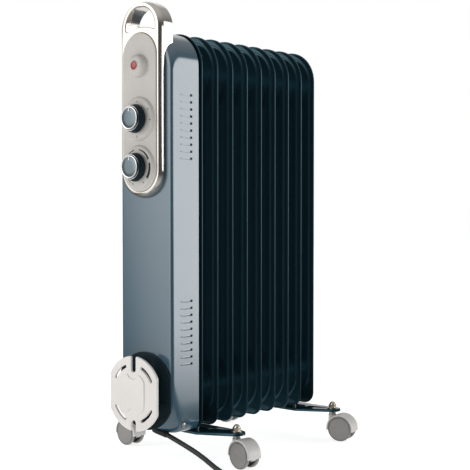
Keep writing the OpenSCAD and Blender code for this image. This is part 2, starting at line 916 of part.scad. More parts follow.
at_caster(rear_foot_x, -1, rear_right_yaw) axle();  // rear_right_axle
at_caster(rear_foot_x, -1, rear_right_yaw) wheel(1);  // rear_right_wheel_a
at_caster(rear_foot_x, -1, rear_right_yaw) wheel(-1);  // rear_right_wheel_b
at_caster(rear_foot_x, 1, rear_left_yaw) hood();  // rear_left_hood
at_caster(rear_foot_x, 1, rear_left_yaw) axle();  // rear_left_axle
at_caster(rear_foot_x, 1, rear_left_yaw) wheel(1);  // rear_left_wheel_a
at_caster(rear_foot_x, 1, rear_left_yaw) wheel(-1);  // rear_left_wheel_b
cord_gland();
mains_cord();
cord_coil();
mains_plug();
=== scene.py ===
import json
import math

import bmesh
import bpy
from mathutils import Matrix, Vector


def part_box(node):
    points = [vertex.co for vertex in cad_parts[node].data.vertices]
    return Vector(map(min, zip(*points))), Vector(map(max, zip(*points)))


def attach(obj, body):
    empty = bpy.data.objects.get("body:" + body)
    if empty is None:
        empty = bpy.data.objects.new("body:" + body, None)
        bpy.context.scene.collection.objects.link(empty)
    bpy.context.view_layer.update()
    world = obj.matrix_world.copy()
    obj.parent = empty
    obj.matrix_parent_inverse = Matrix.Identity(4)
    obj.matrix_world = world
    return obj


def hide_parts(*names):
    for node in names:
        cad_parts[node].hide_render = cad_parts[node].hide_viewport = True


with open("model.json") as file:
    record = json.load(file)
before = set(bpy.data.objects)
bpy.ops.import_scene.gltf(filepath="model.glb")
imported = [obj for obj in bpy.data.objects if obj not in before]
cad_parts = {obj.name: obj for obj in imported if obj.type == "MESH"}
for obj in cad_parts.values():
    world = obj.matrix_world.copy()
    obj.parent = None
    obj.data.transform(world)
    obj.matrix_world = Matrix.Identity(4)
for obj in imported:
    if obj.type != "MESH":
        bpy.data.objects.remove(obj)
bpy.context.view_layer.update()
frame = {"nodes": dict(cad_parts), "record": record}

MM = 0.001
RECORD = frame["record"]

# ---- Camera and light ----

CAMERA_AT = Vector((-1.2203, -1.0807, 0.3704))
CAMERA_YAW = math.radians(40.65)
CAMERA_DOWN = math.radians(1.71)
CAMERA_LENS, SENSOR_W = 82.73, 36


def add_camera():
    data = bpy.data.cameras.new("camera")
    data.lens = CAMERA_LENS
    data.sensor_width = SENSOR_W
    data.clip_start = 0.05
    data.clip_end = 20
    cam = bpy.data.objects.new("camera", data)
    cam.location = CAMERA_AT
    cam.rotation_euler = (math.pi / 2 - CAMERA_DOWN, 0, CAMERA_YAW - math.pi / 2)
    bpy.context.scene.collection.objects.link(cam)
    bpy.context.scene.camera = cam


def add_area(name, at, toward, size, power):
    """A soft light that no surface mirrors."""
    data = bpy.data.lights.new(name, "AREA")
    data.shape = "RECTANGLE"
    data.size, data.size_y = size
    data.energy = power
    lamp = bpy.data.objects.new(name, data)
    lamp.location = at
    lamp.visible_glossy = False
    lamp.rotation_euler = (Vector(toward) - Vector(at)).to_track_quat("-Z", "Y").to_euler()
    bpy.context.scene.collection.objects.link(lamp)


add_camera()


# ---- Materials ----

BUMP_HEIGHT = 0.0005
NOISE_SPAN = (0.3, 0.7)


def new_material(name):
    mat = bpy.data.materials.new(name)
    mat.use_nodes = True
    nodes = mat.node_tree.nodes
    return mat, nodes, mat.node_tree.links, nodes["Principled BSDF"]


def map_range(nodes, *values):
    """A node that maps its input, from min and max to min and max."""
    node = nodes.new("ShaderNodeMapRange")
    for label, value in zip(("From Min", "From Max", "To Min", "To Max"), values):
        node.inputs[label].default_value = value
    return node


def finish_material(
    name,
    colour,
    other,
    scale,
    rough,
    bump,
    metallic=0.0,
    bump_scale=900,
    coat=0.0,
    coat_rough=0.05,
    coat_ior=1.5,
    stretch=(1, 1, 1),
    specular=0.5,
    transmission=0.0,
    gloss_tint=(1, 1, 1),
):
    """Noise-mottled colour, roughness and bump, in object space."""
    mat, nodes, links, shader = new_material(name)
    place = nodes.new("ShaderNodeTexCoord")
    squeeze = nodes.new("ShaderNodeMapping")
    squeeze.inputs["Scale"].default_value = stretch
    links.new(place.outputs["Object"], squeeze.inputs["Vector"])
    broad, fine = nodes.new("ShaderNodeTexNoise"), nodes.new("ShaderNodeTexNoise")
    for tex, size, detail in ((broad, scale, 4), (fine, bump_scale, 3)):
        tex.inputs["Scale"].default_value = size
        tex.inputs["Detail"].default_value = detail
        links.new(squeeze.outputs["Vector"], tex.inputs["Vector"])
    ramp = nodes.new("ShaderNodeValToRGB")
    for stop, position, shade in zip(ramp.color_ramp.elements, NOISE_SPAN, (colour, other)):
        stop.position = position
        stop.color = (*shade, 1)
    links.new(broad.outputs["Fac"], ramp.inputs["Fac"])
    links.new(ramp.outputs["Color"], shader.inputs["Base Color"])
    grain = map_range(nodes, *NOISE_SPAN, *rough)
    links.new(fine.outputs["Fac"], grain.inputs["Value"])
    links.new(grain.outputs["Result"], shader.inputs["Roughness"])
    relief = nodes.new("ShaderNodeBump")
    relief.inputs["Strength"].default_value = bump
    relief.inputs["Distance"].default_value = BUMP_HEIGHT
    links.new(fine.outputs["Fac"], relief.inputs["Height"])
    links.new(relief.outputs["Normal"], shader.inputs["Normal"])
    for label, value in (
        ("Metallic", metallic),
        ("Coat Weight", coat),
        ("Coat Roughness", coat_rough),
        ("Coat IOR", coat_ior),
        ("Specular IOR Level", specular),
        ("Transmission Weight", transmission),
        ("Specular Tint", (*gloss_tint, 1)),
    ):
        shader.inputs[label].default_value = value
    return mat


FINISHES = {
    "fin": ("fin_enamel", (0.0080, 0.0250, 0.0340), (0.0100, 0.0290, 0.0390),
        dict(scale=9, rough=(0.10, 0.14), bump=0.006, bump_scale=90, specular=0.9,
             gloss_tint=(0.38, 0.74, 0.90))),
    "cover": ("cover_enamel", (0.026, 0.080, 0.118), (0.029, 0.086, 0.126),
        dict(scale=7, rough=(0.2, 0.26), bump=0.003, bump_scale=90, coat=1.0, coat_rough=0.12,
             coat_ior=1.95)),
    "nickel": ("polished_nickel", (0.74, 0.70, 0.64), (0.80, 0.76, 0.70),
        dict(scale=30, rough=(0.10, 0.16), metallic=1.0, bump=0.01, bump_scale=400)),
    "nut": ("nut_nickel", (0.62, 0.56, 0.44), (0.72, 0.66, 0.54),
        dict(scale=90, rough=(0.15, 0.25), metallic=1.0, bump=0.03, bump_scale=500)),
    "panel": ("panel_plastic", (0.52, 0.50, 0.47), (0.56, 0.54, 0.51),
        dict(scale=25, rough=(0.34, 0.42), bump=0.05, bump_scale=1500, specular=0.2)),
    "face": ("knob_face_metal", (0.15, 0.195, 0.215), (0.20, 0.25, 0.27),
        dict(scale=60, rough=(0.24, 0.34), metallic=0.8, bump=0.03, bump_scale=700, stretch=(1, 1, 0.1))),
    "dark": ("dark_plastic", (0.0065, 0.016, 0.021), (0.009, 0.020, 0.026),
        dict(scale=30, rough=(0.26, 0.34), bump=0.04, specular=0.09)),
    "ivory": ("ivory_plastic", (0.75, 0.72, 0.69), (0.79, 0.76, 0.73),
        dict(scale=20, rough=(0.28, 0.36), bump=0.04)),
    "red": ("red_lens", (0.30, 0.040, 0.042), (0.36, 0.055, 0.055),
        dict(scale=200, rough=(0.10, 0.16), bump=0.03, coat=0.6, coat_rough=0.04)),
    "lamp": ("lamp_glass", (0.85, 0.55, 0.25), (0.90, 0.62, 0.32),
        dict(scale=80, rough=(0.05, 0.1), bump=0.02, bump_scale=300, transmission=0.6)),
    "bakelite": ("bakelite", (0.60, 0.54, 0.40), (0.66, 0.60, 0.46),
        dict(scale=60, rough=(0.40, 0.55), bump=0.10, bump_scale=700)),
    "zinc": ("zinc_steel", (0.50, 0.50, 0.49), (0.62, 0.62, 0.60),
        dict(scale=120, rough=(0.26, 0.38), metallic=1.0, bump=0.05, bump_scale=800)),
    "element": ("element_steel", (0.20, 0.19, 0.18), (0.28, 0.26, 0.24),
        dict(scale=90, rough=(0.45, 0.6), metallic=0.9, bump=0.08, bump_scale=600)),
    "brass": ("flange_brass", (0.52, 0.36, 0.12), (0.60, 0.43, 0.17),
        dict(scale=90, rough=(0.25, 0.36), metallic=1.0, bump=0.05, bump_scale=600)),
    "hood": ("caster_hood_plastic", (0.72, 0.70, 0.67), (0.76, 0.74, 0.71),
        dict(scale=40, rough=(0.24, 0.32), bump=0.04)),
    "wheel": ("caster_wheel_plastic", (0.27, 0.26, 0.25), (0.31, 0.30, 0.29),
        dict(scale=50, rough=(0.36, 0.46), bump=0.06)),
    "black": ("black_plastic", (0.008, 0.008, 0.008), (0.014, 0.014, 0.013),
        dict(scale=60, rough=(0.38, 0.5), bump=0.06)),
    # Near-black used only as painted shade: the shadow lines round the louvre tongues and the dark inside of
    # their mouths
    "painted_shade": ("louvre_painted_shade", (0.004, 0.004, 0.005), (0.007, 0.007, 0.008),
        dict(scale=60, rough=(0.8, 0.9), bump=0.02, bump_scale=300, specular=0.05)),
    "trim": ("knob_trim_chrome", (0.84, 0.84, 0.84), (0.90, 0.90, 0.90),
        dict(scale=50, rough=(0.08, 0.14), metallic=1.0, bump=0.01, bump_scale=400)),
    "cord": ("cord_sheath", (0.014, 0.014, 0.015), (0.024, 0.024, 0.024),
        dict(scale=150, rough=(0.36, 0.5), bump=0.12, bump_scale=1400)),
    "ink": ("scale_ink", (0.008, 0.009, 0.010), (0.013, 0.015, 0.016),
        dict(scale=200, rough=(0.45, 0.55), bump=0.02)),
    "floor": ("studio_floor", (0.93, 0.93, 0.93), (0.95, 0.95, 0.95),
        dict(scale=3, rough=(0.75, 0.85), bump=0.0, bump_scale=300, specular=0.1)),
}
M = {key: finish_material(*first, **more) for key, (*first, more) in FINISHES.items()}


# ---- Mesh helpers ----

def link_piece(obj, material, body, stands_for):
    """Adds a piece to the scene, under its body and with its material, in place of its CAD nodes."""
    obj.data.materials.append(material)
    bpy.context.scene.collection.objects.link(obj)
    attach(obj, body)
    if stands_for:
        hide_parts(*stands_for)
    return obj


def add_piece(name, bm, angle, material, body, stands_for):
    """A smooth-shaded piece, sharp at edges above the angle in degrees."""
    bmesh.ops.recalc_face_normals(bm, faces=bm.faces)
    mesh = bpy.data.meshes.new(name)
    bm.to_mesh(mesh)
    bm.free()
    for poly in mesh.polygons:
        poly.use_smooth = True
    mesh.set_sharp_from_angle(angle=math.radians(angle))
    return link_piece(bpy.data.objects.new(name, mesh), M[material], body, stands_for)


def add_rings(bm, rings, cap_start=True):
    """Skins a list of rings of points, in metres, with a face over each end."""
    rows = [[bm.verts.new(p) for p in ring] for ring in rings]
    count = len(rows[0])
    for a, b in zip(rows, rows[1:]):
        for k in range(count):
            bm.faces.new((a[k], a[(k + 1) % count], b[(k + 1) % count], b[k]))
    if cap_start:
        bm.faces.new(rows[0])
    bm.faces.new(rows[-1])
    return rows


def turn_to(axis):
    """Rotation that takes +Z to the axis."""
    return Vector((0, 0, 1)).rotation_difference(Vector(axis).normalized()).to_matrix()


def add_lathe(bm, profile, centre, axis, sides=64, wobble=None):
    """Profile of (radius, height) in mm, turned about an axis through centre (metres)."""
    spin = turn_to(axis)
    rows = []
    for r, h in profile:
        row = []
        for k in range(sides):
            a = 2 * math.pi * k / sides
            rr = r if wobble is None else wobble(r, h, a)
            row.append(Vector(centre) + spin @ Vector((rr * math.cos(a), rr * math.sin(a), h)) * MM)
        rows.append(row)
    add_rings(bm, rows)


def rounded(profile, radius, steps=4):
    """Rounds the corners of an open (r, h) profile."""
    out = [profile[0]]
    for a, b, c in zip(profile, profile[1:], profile[2:]):
        va, vb, vc = Vector(a), Vector(b), Vector(c)
        to_a, to_c = va - vb, vc - vb
        reach = min(radius, to_a.length * 0.45, to_c.length * 0.45)
        p, q = vb + to_a.normalized() * reach, vb + to_c.normalized() * reach
        for i in range(steps + 1):
            t = i / steps
            out.append(tuple((1 - t) ** 2 * p + 2 * t * (1 - t) * vb + t * t * q))
    out.append(profile[-1])
    return out


def arc(cy, cz, r, a0, a1, steps=16):
    return [
        (cy + r * math.cos(math.radians(a0 + (a1 - a0) * i / steps)),
         cz + r * math.sin(math.radians(a0 + (a1 - a0) * i / steps)))
        for i in range(steps + 1)
    ]


def stadium(w, z0, z1, steps=24):
    return arc(0, z1 - w / 2, w / 2, 0, 180, steps) + arc(0, z0 + w / 2, w / 2, 180, 360, steps)


def extruded(name, loops, x0, x1, edge, edge_steps=3):
    """A flat shape with holes (loops of (y, z) in mm), from x0 to x1, with rounded edges."""
    data = bpy.data.curves.new(name + "_outline", "CURVE")
    data.dimensions = "2D"
    data.fill_mode = "BOTH"
    data.extrude = max((x1 - x0) / 2 - edge, 0.01) * MM
    data.bevel_depth = edge * MM
    data.bevel_resolution = edge_steps
    data.offset = -edge * MM
    for loop in loops:
        line = data.splines.new("POLY")
        line.points.add(len(loop) - 1)
        for point, (y, z) in zip(line.points, loop):
            point.co = (y * MM, z * MM, 0, 1)
        line.use_cyclic_u = True
    shape = bpy.data.objects.new(name + "_outline", data)
    bpy.context.scene.collection.objects.link(shape)
    bpy.context.view_layer.update()
    mesh = bpy.data.meshes.new_from_object(
        shape.evaluated_get(bpy.context.evaluated_depsgraph_get()))
    bpy.data.objects.remove(shape)
    bpy.data.curves.remove(data)
    mid = (x0 + x1) / 2 * MM
    mesh.transform(Matrix(((0, 0, 1, mid), (1, 0, 0, 0), (0, 1, 0, 0), (0, 0, 0, 1))))
    bm = bmesh.new()
    bm.from_mesh(mesh)
    bpy.data.meshes.remove(mesh)
    bmesh.ops.remove_doubles(bm, verts=bm.verts, dist=1e-6)
    return bm


def merge(into, bm):
    """Adds one bmesh to another."""
    carrier = bpy.data.meshes.new("carrier")
    bm.to_mesh(carrier)
    bm.free()
    into.from_mesh(carrier)
    bpy.data.meshes.remove(carrier)


def span(node):
    """A node's box as ((x0, y0, z0), (x1, y1, z1)) in mm."""
    low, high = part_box(node)
    return [c / MM for c in low], [c / MM for c in high]


def middle(node):
    low, high = span(node)
    return [(a + b) / 2 for a, b in zip(low, high)]


# ---- Mains cord: the first part hangs to the floor, the rest is coiled ----

CORD_D = 7
CORD_ROUTE = [
    (-143.5, -31.1, 46.1), (-143.5, -44, 42.5), (-143.4, -58, 38.3), (-142.6, -72, 33.6),
    (-141, -86, 28), (-138.8, -98, 21.6), (-136.6, -109, 14.6), (-135, -120, 8.6),
    (-134.2, -132, 5), (-134.2, -145, 3.8), (-135.5, -158, 3.6), (-138.5, -171, 3.6),
    (-143.5, -184, 3.6), (-151, -196, 3.6), (-161, -207, 3.6), (-174, -217, 3.6),
    (-189, -225, 3.6),
]
COIL_AT = middle("cord_coil")
COIL_R = 39
# Each turn's place in the bundle: outward and upward from its middle
TURN_PLACES = [(0.5, -6.9), (-6.2, -3.4), (6.4, -3.2), (0.2, 0.2), (-6.0, 3.7), (0.4, 6.9)]
# Where the cord enters the plug
TAIL_AT = (COIL_AT[0] - 46, COIL_AT[1] - COIL_R, 18)


def coil_points(first, last, per_turn=28):
    """Turns beside and on each other, each sliding to the next place over a quarter turn."""
    turns = len(TURN_PLACES)
    total = turns * 360 + (first - last) % 360 - 360
    count = int(per_turn * total / 360)
    points = []
    for i in range(count + 1):
        gone = total * i / count
        turn = min(int(gone / 360), turns - 1)
        share = min(max((gone / 360 - turn - 0.75) / 0.25, 0), 1)
        ease = share * share * (3 - 2 * share)
        here, after = TURN_PLACES[turn], TURN_PLACES[min(turn + 1, turns - 1)]
        out, up = (here[k] + (after[k] - here[k]) * ease for k in (0, 1))
        a = math.radians(first - gone)
        r = COIL_R + out
        points.append((COIL_AT[0] + r * math.cos(a), COIL_AT[1] + r * math.sin(a), COIL_AT[2] + up))
    return points


def add_cord():
    line = CORD_ROUTE + coil_points(-62, -90)
    end = line[-1]
    line += [tuple(end[k] + (TAIL_AT[k] - end[k]) * t for k in range(3)) for t in (0.35, 0.7, 1.0)]
    data = bpy.data.curves.new("mains_cord_run", "CURVE")
    data.dimensions = "3D"
    data.bevel_depth = CORD_D / 2 * MM
    data.bevel_resolution = 5
    data.use_fill_caps = True
    curve = data.splines.new("NURBS")
    curve.points.add(len(line) - 1)
    for point, at in zip(curve.points, line):
        point.co = (*(c * MM for c in at), 1)
    curve.order_u = 4
    curve.use_endpoint_u = True
    curve.resolution_u = 3
    obj = bpy.data.objects.new("mains_cord_run", data)
    length = sum((Vector(a) - Vector(b)).length for a, b in zip(line, line[1:])) * MM
    return obj, length


cord, cord_length = add_cord()
link_piece(cord, M["cord"], "heater", ["mains_cord", "cord_coil"])


# ---- Fins ----

FIN_COUNT = 9
FIN_PITCH = 33
FIN_REACH = FIN_PITCH / 2
FIRST_REACH, LAST_REACH = 8, 12
FIN_2_X = span("fin_2")[0][0] + FIN_REACH
FIN_W = 100
FIN_BOTTOM, FIN_TOP, FIN_CORNER = 47.5, 612.5, 18
HEADERS = (100, 557)
CHANNEL_Y, CHANNEL_W = 15, 17
CHANNEL_RISE, SEAM_DEPTH = 2.4, 1.2
STEP_IN, STEP_OUT, SPINE_INSET = 9.6, 7.4, 49.9
RIM_HALF, FIELD_HALF = 0.8, 2.6
# (inset, half thickness) from the edge to the step
FIN_RIM = [
    (0, 0.25), (0.12, 0.7), (0.45, 1.0), (0.9, 1.1), (1.4, 1.05), (1.9, 0.92), (2.5, 0.82), (4.5, RIM_HALF),
]


def arch_ring(inset, corner):
    """Outline with a half-round top, inset by a distance, in matching points."""
    hw = FIN_W / 2 - inset
    top_z = FIN_TOP - FIN_W / 2
    low = FIN_BOTTOM + inset
    corner = min(corner, hw)
    side_low = low + corner
    # Closer together near both ends of the straight sides
    steps = [i / 20 - 0.11 * math.sin(2 * math.pi * i / 20) for i in range(1, 20)]
    side = [top_z + (side_low - top_z) * t for t in steps]
    ring = arc(0, top_z, hw, 0, 180, 24) + [(-hw, z) for z in side]
    ring += arc(-hw + corner, side_low, corner, 180, 270, 10)
    ring += [(-hw + corner + 2 * (hw - corner) * i / 6, low) for i in range(1, 6)]
    ring += arc(hw - corner, side_low, corner, 270, 360, 10)
    return ring + [(hw, z) for z in side[::-1]]


def ramp01(x, a, b):
    t = min(max((x - a) / (b - a), 0), 1)
    return t * t * (3 - 2 * t)


def field_height(y, z):
    """Half thickness of the raised field: oil channels with a welded seam between them."""
    off = abs(abs(y) - CHANNEL_Y) / (CHANNEL_W / 2)
    bulge = math.cos(min(off, 1) * math.pi / 2) ** 1.2 if off < 1 else 0
    fade = ramp01(z, HEADERS[0] - 12, HEADERS[0] + 20) * (1 - ramp01(z, HEADERS[1] - 20, HEADERS[1] + 12))
    seam = SEAM_DEPTH * (1 - ramp01(abs(y), 2.5, 6))
    return FIELD_HALF + (CHANNEL_RISE * bulge - seam) * fade


def fin_rings():
    """Rings of (y, z, half thickness) from the edge to the spine."""
    rings = []
    for inset, h in FIN_RIM:
        rings.append([(y, z, h) for y, z in arch_ring(inset, FIN_CORNER - inset * 0.6)])
    rings.append([(y, z, RIM_HALF) for y, z in arch_ring(STEP_OUT, 34)])
    for t in (0.25, 0.5, 0.75, 1.0):
        inset = STEP_OUT + (STEP_IN - STEP_OUT) * t
        h = RIM_HALF + (FIELD_HALF - RIM_HALF) * ramp01(t, 0, 1)
        rings.append([(y, z, h) for y, z in arch_ring(inset, 38)])
    for k in range(1, 17):
        inset = STEP_IN + (SPINE_INSET - STEP_IN) * k / 16
        rings.append([(y, z, field_height(y, z)) for y, z in arch_ring(inset, 38)])
    return rings


def header_profile(reach):
    """Cone from the field to the collar where two fins meet."""
    neck, foot = 18.7, 36
    rise = reach - FIELD_HALF
    out = [(foot + 4, FIELD_HALF - 0.4), (foot + 1.5, FIELD_HALF + 0.15)]
    for i in range(13):
        t = i / 12
        bow = math.sin(math.pi * t) * 2.2
        out.append((foot + (neck - foot) * t - bow * 0.6, FIELD_HALF + 0.5 + rise * (t ** 1.15)))
    out[-1] = (neck, reach)
    return out


def build_fin(index, rings):
    """Two pressed halves joined at their rims, with a cone and collar at each end of both headers."""
    x = FIN_2_X + FIN_PITCH * (index - 2)
    bm = bmesh.new()
    edges = []
    for side in (-1, 1):
        half = [[Vector((x + side * h, y, z)) * MM for y, z, h in ring] for ring in rings]
        edges.append(add_rings(bm, half, cap_start=False)[0])
    front_edge, rear_edge = edges
    count = len(front_edge)
    for k in range(count):
        after = (k + 1) % count
        bm.faces.new((front_edge[k], front_edge[after], rear_edge[after], rear_edge[k]))
    for z in HEADERS:
        front = FIRST_REACH if index == 1 else FIN_REACH
        rear = LAST_REACH if index == FIN_COUNT else FIN_REACH
        for side, reach in ((-1, front), (1, rear)):
            profile = header_profile(reach)
            profile += [(15, reach)] if reach == FIN_REACH else [(16, reach), (2, reach)]
            add_lathe(bm, profile, (x * MM, 0, z * MM), (side, 0, 0), sides=56)
    add_piece("fin_%d_pressing" % index, bm, 50, "fin", "heater", ["fin_%d" % index])


RINGS = fin_rings()
for number in range(1, FIN_COUNT + 1):
    build_fin(number, RINGS)


# ---- Control box ----

COVER_LOW, COVER_HIGH = span("box_cover")
FRONT_X = COVER_LOW[0]
BACK_X = COVER_HIGH[0]
BOX_HALF = COVER_HIGH[1]
BOX_TOP, BOX_BOTTOM = COVER_HIGH[2], COVER_LOW[2]
SIDE_EDGE, NOSE_DEPTH, NOSE_LOW = 4.5, 19, 14
WALL = 2


def box_ring(depth, back=0.0):
    """Outline of the control box at a depth behind its front, set back by a wall for its inside."""
    side = SIDE_EDGE * (1 - math.sqrt(max(1 - (1 - min(depth / SIDE_EDGE, 1)) ** 2, 0)))
    fall = 1 - math.sqrt(max(1 - (1 - min(depth / NOSE_DEPTH, 1)) ** 2, 0))
    hw = BOX_HALF - side - back
    top = BOX_TOP - NOSE_DEPTH * fall - back
    low = BOX_BOTTOM + NOSE_LOW * fall + back
    corner = min(15 + 33 * (1 - ramp01(depth, 0, 20)), hw - 0.01)
    ring = arc(0, top - hw, hw, 0, 180, 40)
    ring += [(-hw, top - hw - (top - hw - low - corner) * i / 16) for i in range(1, 16)]
    ring += arc(-hw + corner, low + corner, corner, 180, 270, 12)
    ring += arc(hw - corner, low + corner, corner, 270, 360, 12)
    ring += [(hw, low + corner + (top - hw - low - corner) * i / 16) for i in range(1, 16)]
    return ring


def build_cover():
    bm = bmesh.new()
    depths = [0, 0.12, 0.45, 1.0, 1.7, 2.6, 3.5, 4.5, 6, 8, 10.5, 13.5, 16.5, 20, 30, 42, BACK_X - FRONT_X]
    rings = [[Vector((FRONT_X + d, y, z)) * MM for y, z in box_ring(d)] for d in depths]
    for d in (BACK_X - FRONT_X, 6):
        rings.append([Vector((FRONT_X + d, y, z)) * MM for y, z in box_ring(d, WALL)])
    add_rings(bm, rings)
    add_piece("cover_shell", bm, 40, "cover", "heater", ["box_cover"])


build_cover()

LOUVRE_COUNT, LOUVRE_PITCH = 10, 9.8
LOUVRE_ROWS = (431.8, 144.8)
LOUVRE_X0, MOUTH_X = FRONT_X + 17.8, FRONT_X + 37.9
# Outline of the near-black box that paints the shade inside each louvre mouth
MOUTH_OUTLINE = [(-0.3, -1.6), (3.6, -1.6), (3.8, -1.4), (3.8, 1.4), (3.6, 1.6), (-0.3, 1.6)]


def louvre_rings(side, z, grow, rise):
    """Half-round ribs of a tongue that widens from a point at the front to its mouth."""
    rings = []
    for k in range(9):
        t = k / 8
        x = LOUVRE_X0 - grow + (MOUTH_X + grow - LOUVRE_X0) * t
        half = grow + 0.5 + 1.4 * math.sqrt(ramp01(t, 0, 0.45))
        out = 0.45 + rise * ramp01(t, 0, 0.8)
        ring = []
        for j in range(9):
            a = math.pi * j / 8
            y = side * (BOX_HALF - 0.4 + out * abs(math.sin(a)) ** 0.5)
            ring.append(Vector((x, y, z + half * math.cos(a))) * MM)
        rings.append(ring)
    return rings


def build_louvres():
    """Pressed tongues in four rows. Each has a thin near-black outline as a painted shadow line round its
    edge, and a near-black box as painted shade in its square mouth.
    """
    tongues, shade_outlines, shade_mouths = bmesh.new(), bmesh.new(), bmesh.new()
    for side in (-1, 1):
        for row_z in LOUVRE_ROWS:
            for i in range(LOUVRE_COUNT):
                z = row_z + LOUVRE_PITCH * i
                # A near-black shell a little larger than the tongue shows round it as a painted shadow line
                add_rings(shade_outlines, louvre_rings(side, z, 0.16, 0.0))
                add_rings(tongues, louvre_rings(side, z, 0.0, 0.08))
                # A near-black box in the mouth is painted shade inside the opening
                add_rings(shade_mouths, [
                    [Vector((MOUTH_X + dx, side * (BOX_HALF + out), z + dz)) * MM for dx, dz in MOUTH_OUTLINE]
                    for out in (-1.0, 0.2)
                ])
    add_piece("louvre_tongues", tongues, 50, "cover", "heater", ())
    add_piece("louvre_painted_shade_outlines", shade_outlines, 50, "painted_shade", "heater", ())
    add_piece("louvre_painted_shade_mouths", shade_mouths, 32, "painted_shade", "heater", ())


build_louvres()


# ---- Ring handle and panel ----

RING_LOW, RING_HIGH = span("handle_ring")
RING_W = RING_HIGH[1] - RING_LOW[1]
PANEL_LOW, PANEL_HIGH = span("control_panel")
PANEL_W = PANEL_HIGH[1] - PANEL_LOW[1]
PANEL_FACE = FRONT_X - 12.8
DIAL_FACE = PANEL_FACE - 4
PANEL_Z0, PANEL_Z1 = PANEL_LOW[2], PANEL_HIGH[2]
DIAL_R, DIAL_FACE_R = 31, 28.5
KNOB_Z = {"selector": middle("selector_knob")[2], "thermostat": middle("thermostat_knob")[2]}
LENS_Z = middle("indicator_lens")[2]
PANEL_GAP = 0.35
GRIP_R, GRIP_WALL, BOW_R = 29, 8, 78


def handle_hole():
    """Inner outline of the handle: round above, bowed up below."""
    cz = RING_HIGH[2] - GRIP_WALL - GRIP_R
    bow_z = PANEL_Z1 + GRIP_WALL - BOW_R
    r = GRIP_R
    corner = 2.5
    loop = arc(0, cz, r, 0, 180, 30)
    end_z = bow_z + math.sqrt(BOW_R ** 2 - (r - corner) ** 2)
    loop += arc(-r + corner, end_z + corner, corner, 180, 265, 6)
    for i in range(1, 18):
        y = -(r - corner) + 2 * (r - corner) * i / 18
        loop.append((y, bow_z + math.sqrt(BOW_R ** 2 - y * y)))
    loop += arc(r - corner, end_z + corner, corner, 275, 360, 6)
    return loop


# Depth and inset of the ring's outer side, from its front edge to the full width
RING_EDGE = [
    (0, 3.05), (0.06, 2.88), (0.3, 2.72), (2.4, 1.92), (4.4, 1.15), (4.8, 1.02), (8.7, 0.04), (9.2, 0),
    (11, 0),
]


def ring_edge_at(t):
    """A place on the outer side of the ring, t from 0 at its front to 1."""
    k = min(int(t * (len(RING_EDGE) - 1)), len(RING_EDGE) - 2)
    share = t * (len(RING_EDGE) - 1) - k
    return [a + (b - a) * share for a, b in zip(RING_EDGE[k], RING_EDGE[k + 1])]


def shape_ring_front(bm, edge, inner):
    """Drafts the outer side of the ring and tightens its front edge at the panel."""
    low, high = RING_LOW[2] + RING_W / 2, RING_HIGH[2] - RING_W / 2
    hole_r = PANEL_W / 2 + PANEL_GAP
    hole_low, hole_high = PANEL_Z0 - PANEL_GAP + hole_r, PANEL_Z1 + PANEL_GAP - hole_r
    for v in bm.verts:
        x, y, z = v.co / MM
        depth = x - RING_LOW[0]
        if depth > edge + 0.01:
            continue
        foot = Vector((0, min(max(z, low), high)))
        off = Vector((y, z)) - foot
        hole_foot = Vector((0, min(max(z, hole_low), hole_high)))
        hole_off = Vector((y, z)) - hole_foot
        from_hole = hole_off.length - hole_r
        if RING_W / 2 - off.length < edge + 0.05:
            turned = math.acos(min(max(1 - depth / edge, 0), 1)) / (math.pi / 2)
            depth, inset = ring_edge_at(turned)
            at = foot + off.normalized() * (RING_W / 2 - inset)
            v.co = Vector((RING_LOW[0] + depth, at.x, at.y)) * MM
        elif abs(from_hole) < edge + 0.05:
            at = hole_foot + hole_off.normalized() * (hole_r + from_hole * inner)
            v.co = Vector((RING_LOW[0] + depth * inner, at.x, at.y)) * MM


def build_ring():
    edge = 1.7
    bm = extruded("ring", [
        stadium(RING_W, RING_LOW[2], RING_HIGH[2], 48),
        stadium(PANEL_W + 2 * PANEL_GAP, PANEL_Z0 - PANEL_GAP, PANEL_Z1 + PANEL_GAP, 40),
        handle_hole(),
    ], RING_LOW[0], RING_HIGH[0], edge, edge_steps=8)
    shape_ring_front(bm, edge, 0.4)
    add_piece("ring_handle", bm, 28, "nickel", "heater", ["handle_ring"])


build_ring()


def build_panel():
    bm = extruded("panel", [stadium(PANEL_W, PANEL_Z0, PANEL_Z1, 40)], PANEL_FACE, FRONT_X + 0.5, 1.0)
    for z in KNOB_Z.values():
        add_lathe(bm, rounded([(4, -0.5), (DIAL_R, -0.5), (DIAL_R, 0.2), (DIAL_FACE_R, 4), (4, 4)], 0.8),
                  (PANEL_FACE * MM, 0, z * MM), (-1, 0, 0), sides=96)
    dome = [(16.6, -0.4), (16.4, 0.1)]
    for i in range(15):
        t = math.pi / 2 * i / 14
        dome.append((7.4 + 8.6 * math.cos(t) ** 0.75, 0.4 + 9.0 * math.sin(t)))
    dome += [(7.2, 9.7), (6.9, 10.0), (6.3, 10.0), (6.1, 9.6), (6.1, 7)]
    add_lathe(bm, dome, (PANEL_FACE * MM, 0, LENS_Z * MM), (-1, 0, 0), sides=72)
    add_piece("panel_shell", bm, 35, "panel", "heater", ["control_panel"])


build_panel()


def build_lens():
    bm = bmesh.new()
    add_lathe(bm, [(6.0, 6), (6.0, 9.4), (5.5, 10.1), (4.4, 10.7), (2.6, 11.0), (0.4, 11.1)],
              (PANEL_FACE * MM, 0, LENS_Z * MM), (-1, 0, 0), sides=48,
              wobble=lambda r, h, a: r * (1 + 0.012 * math.cos(12 * a) * (h > 10)))
    add_piece("lens_cap", bm, 32, "red", "heater", ["indicator_lens"])


build_lens()


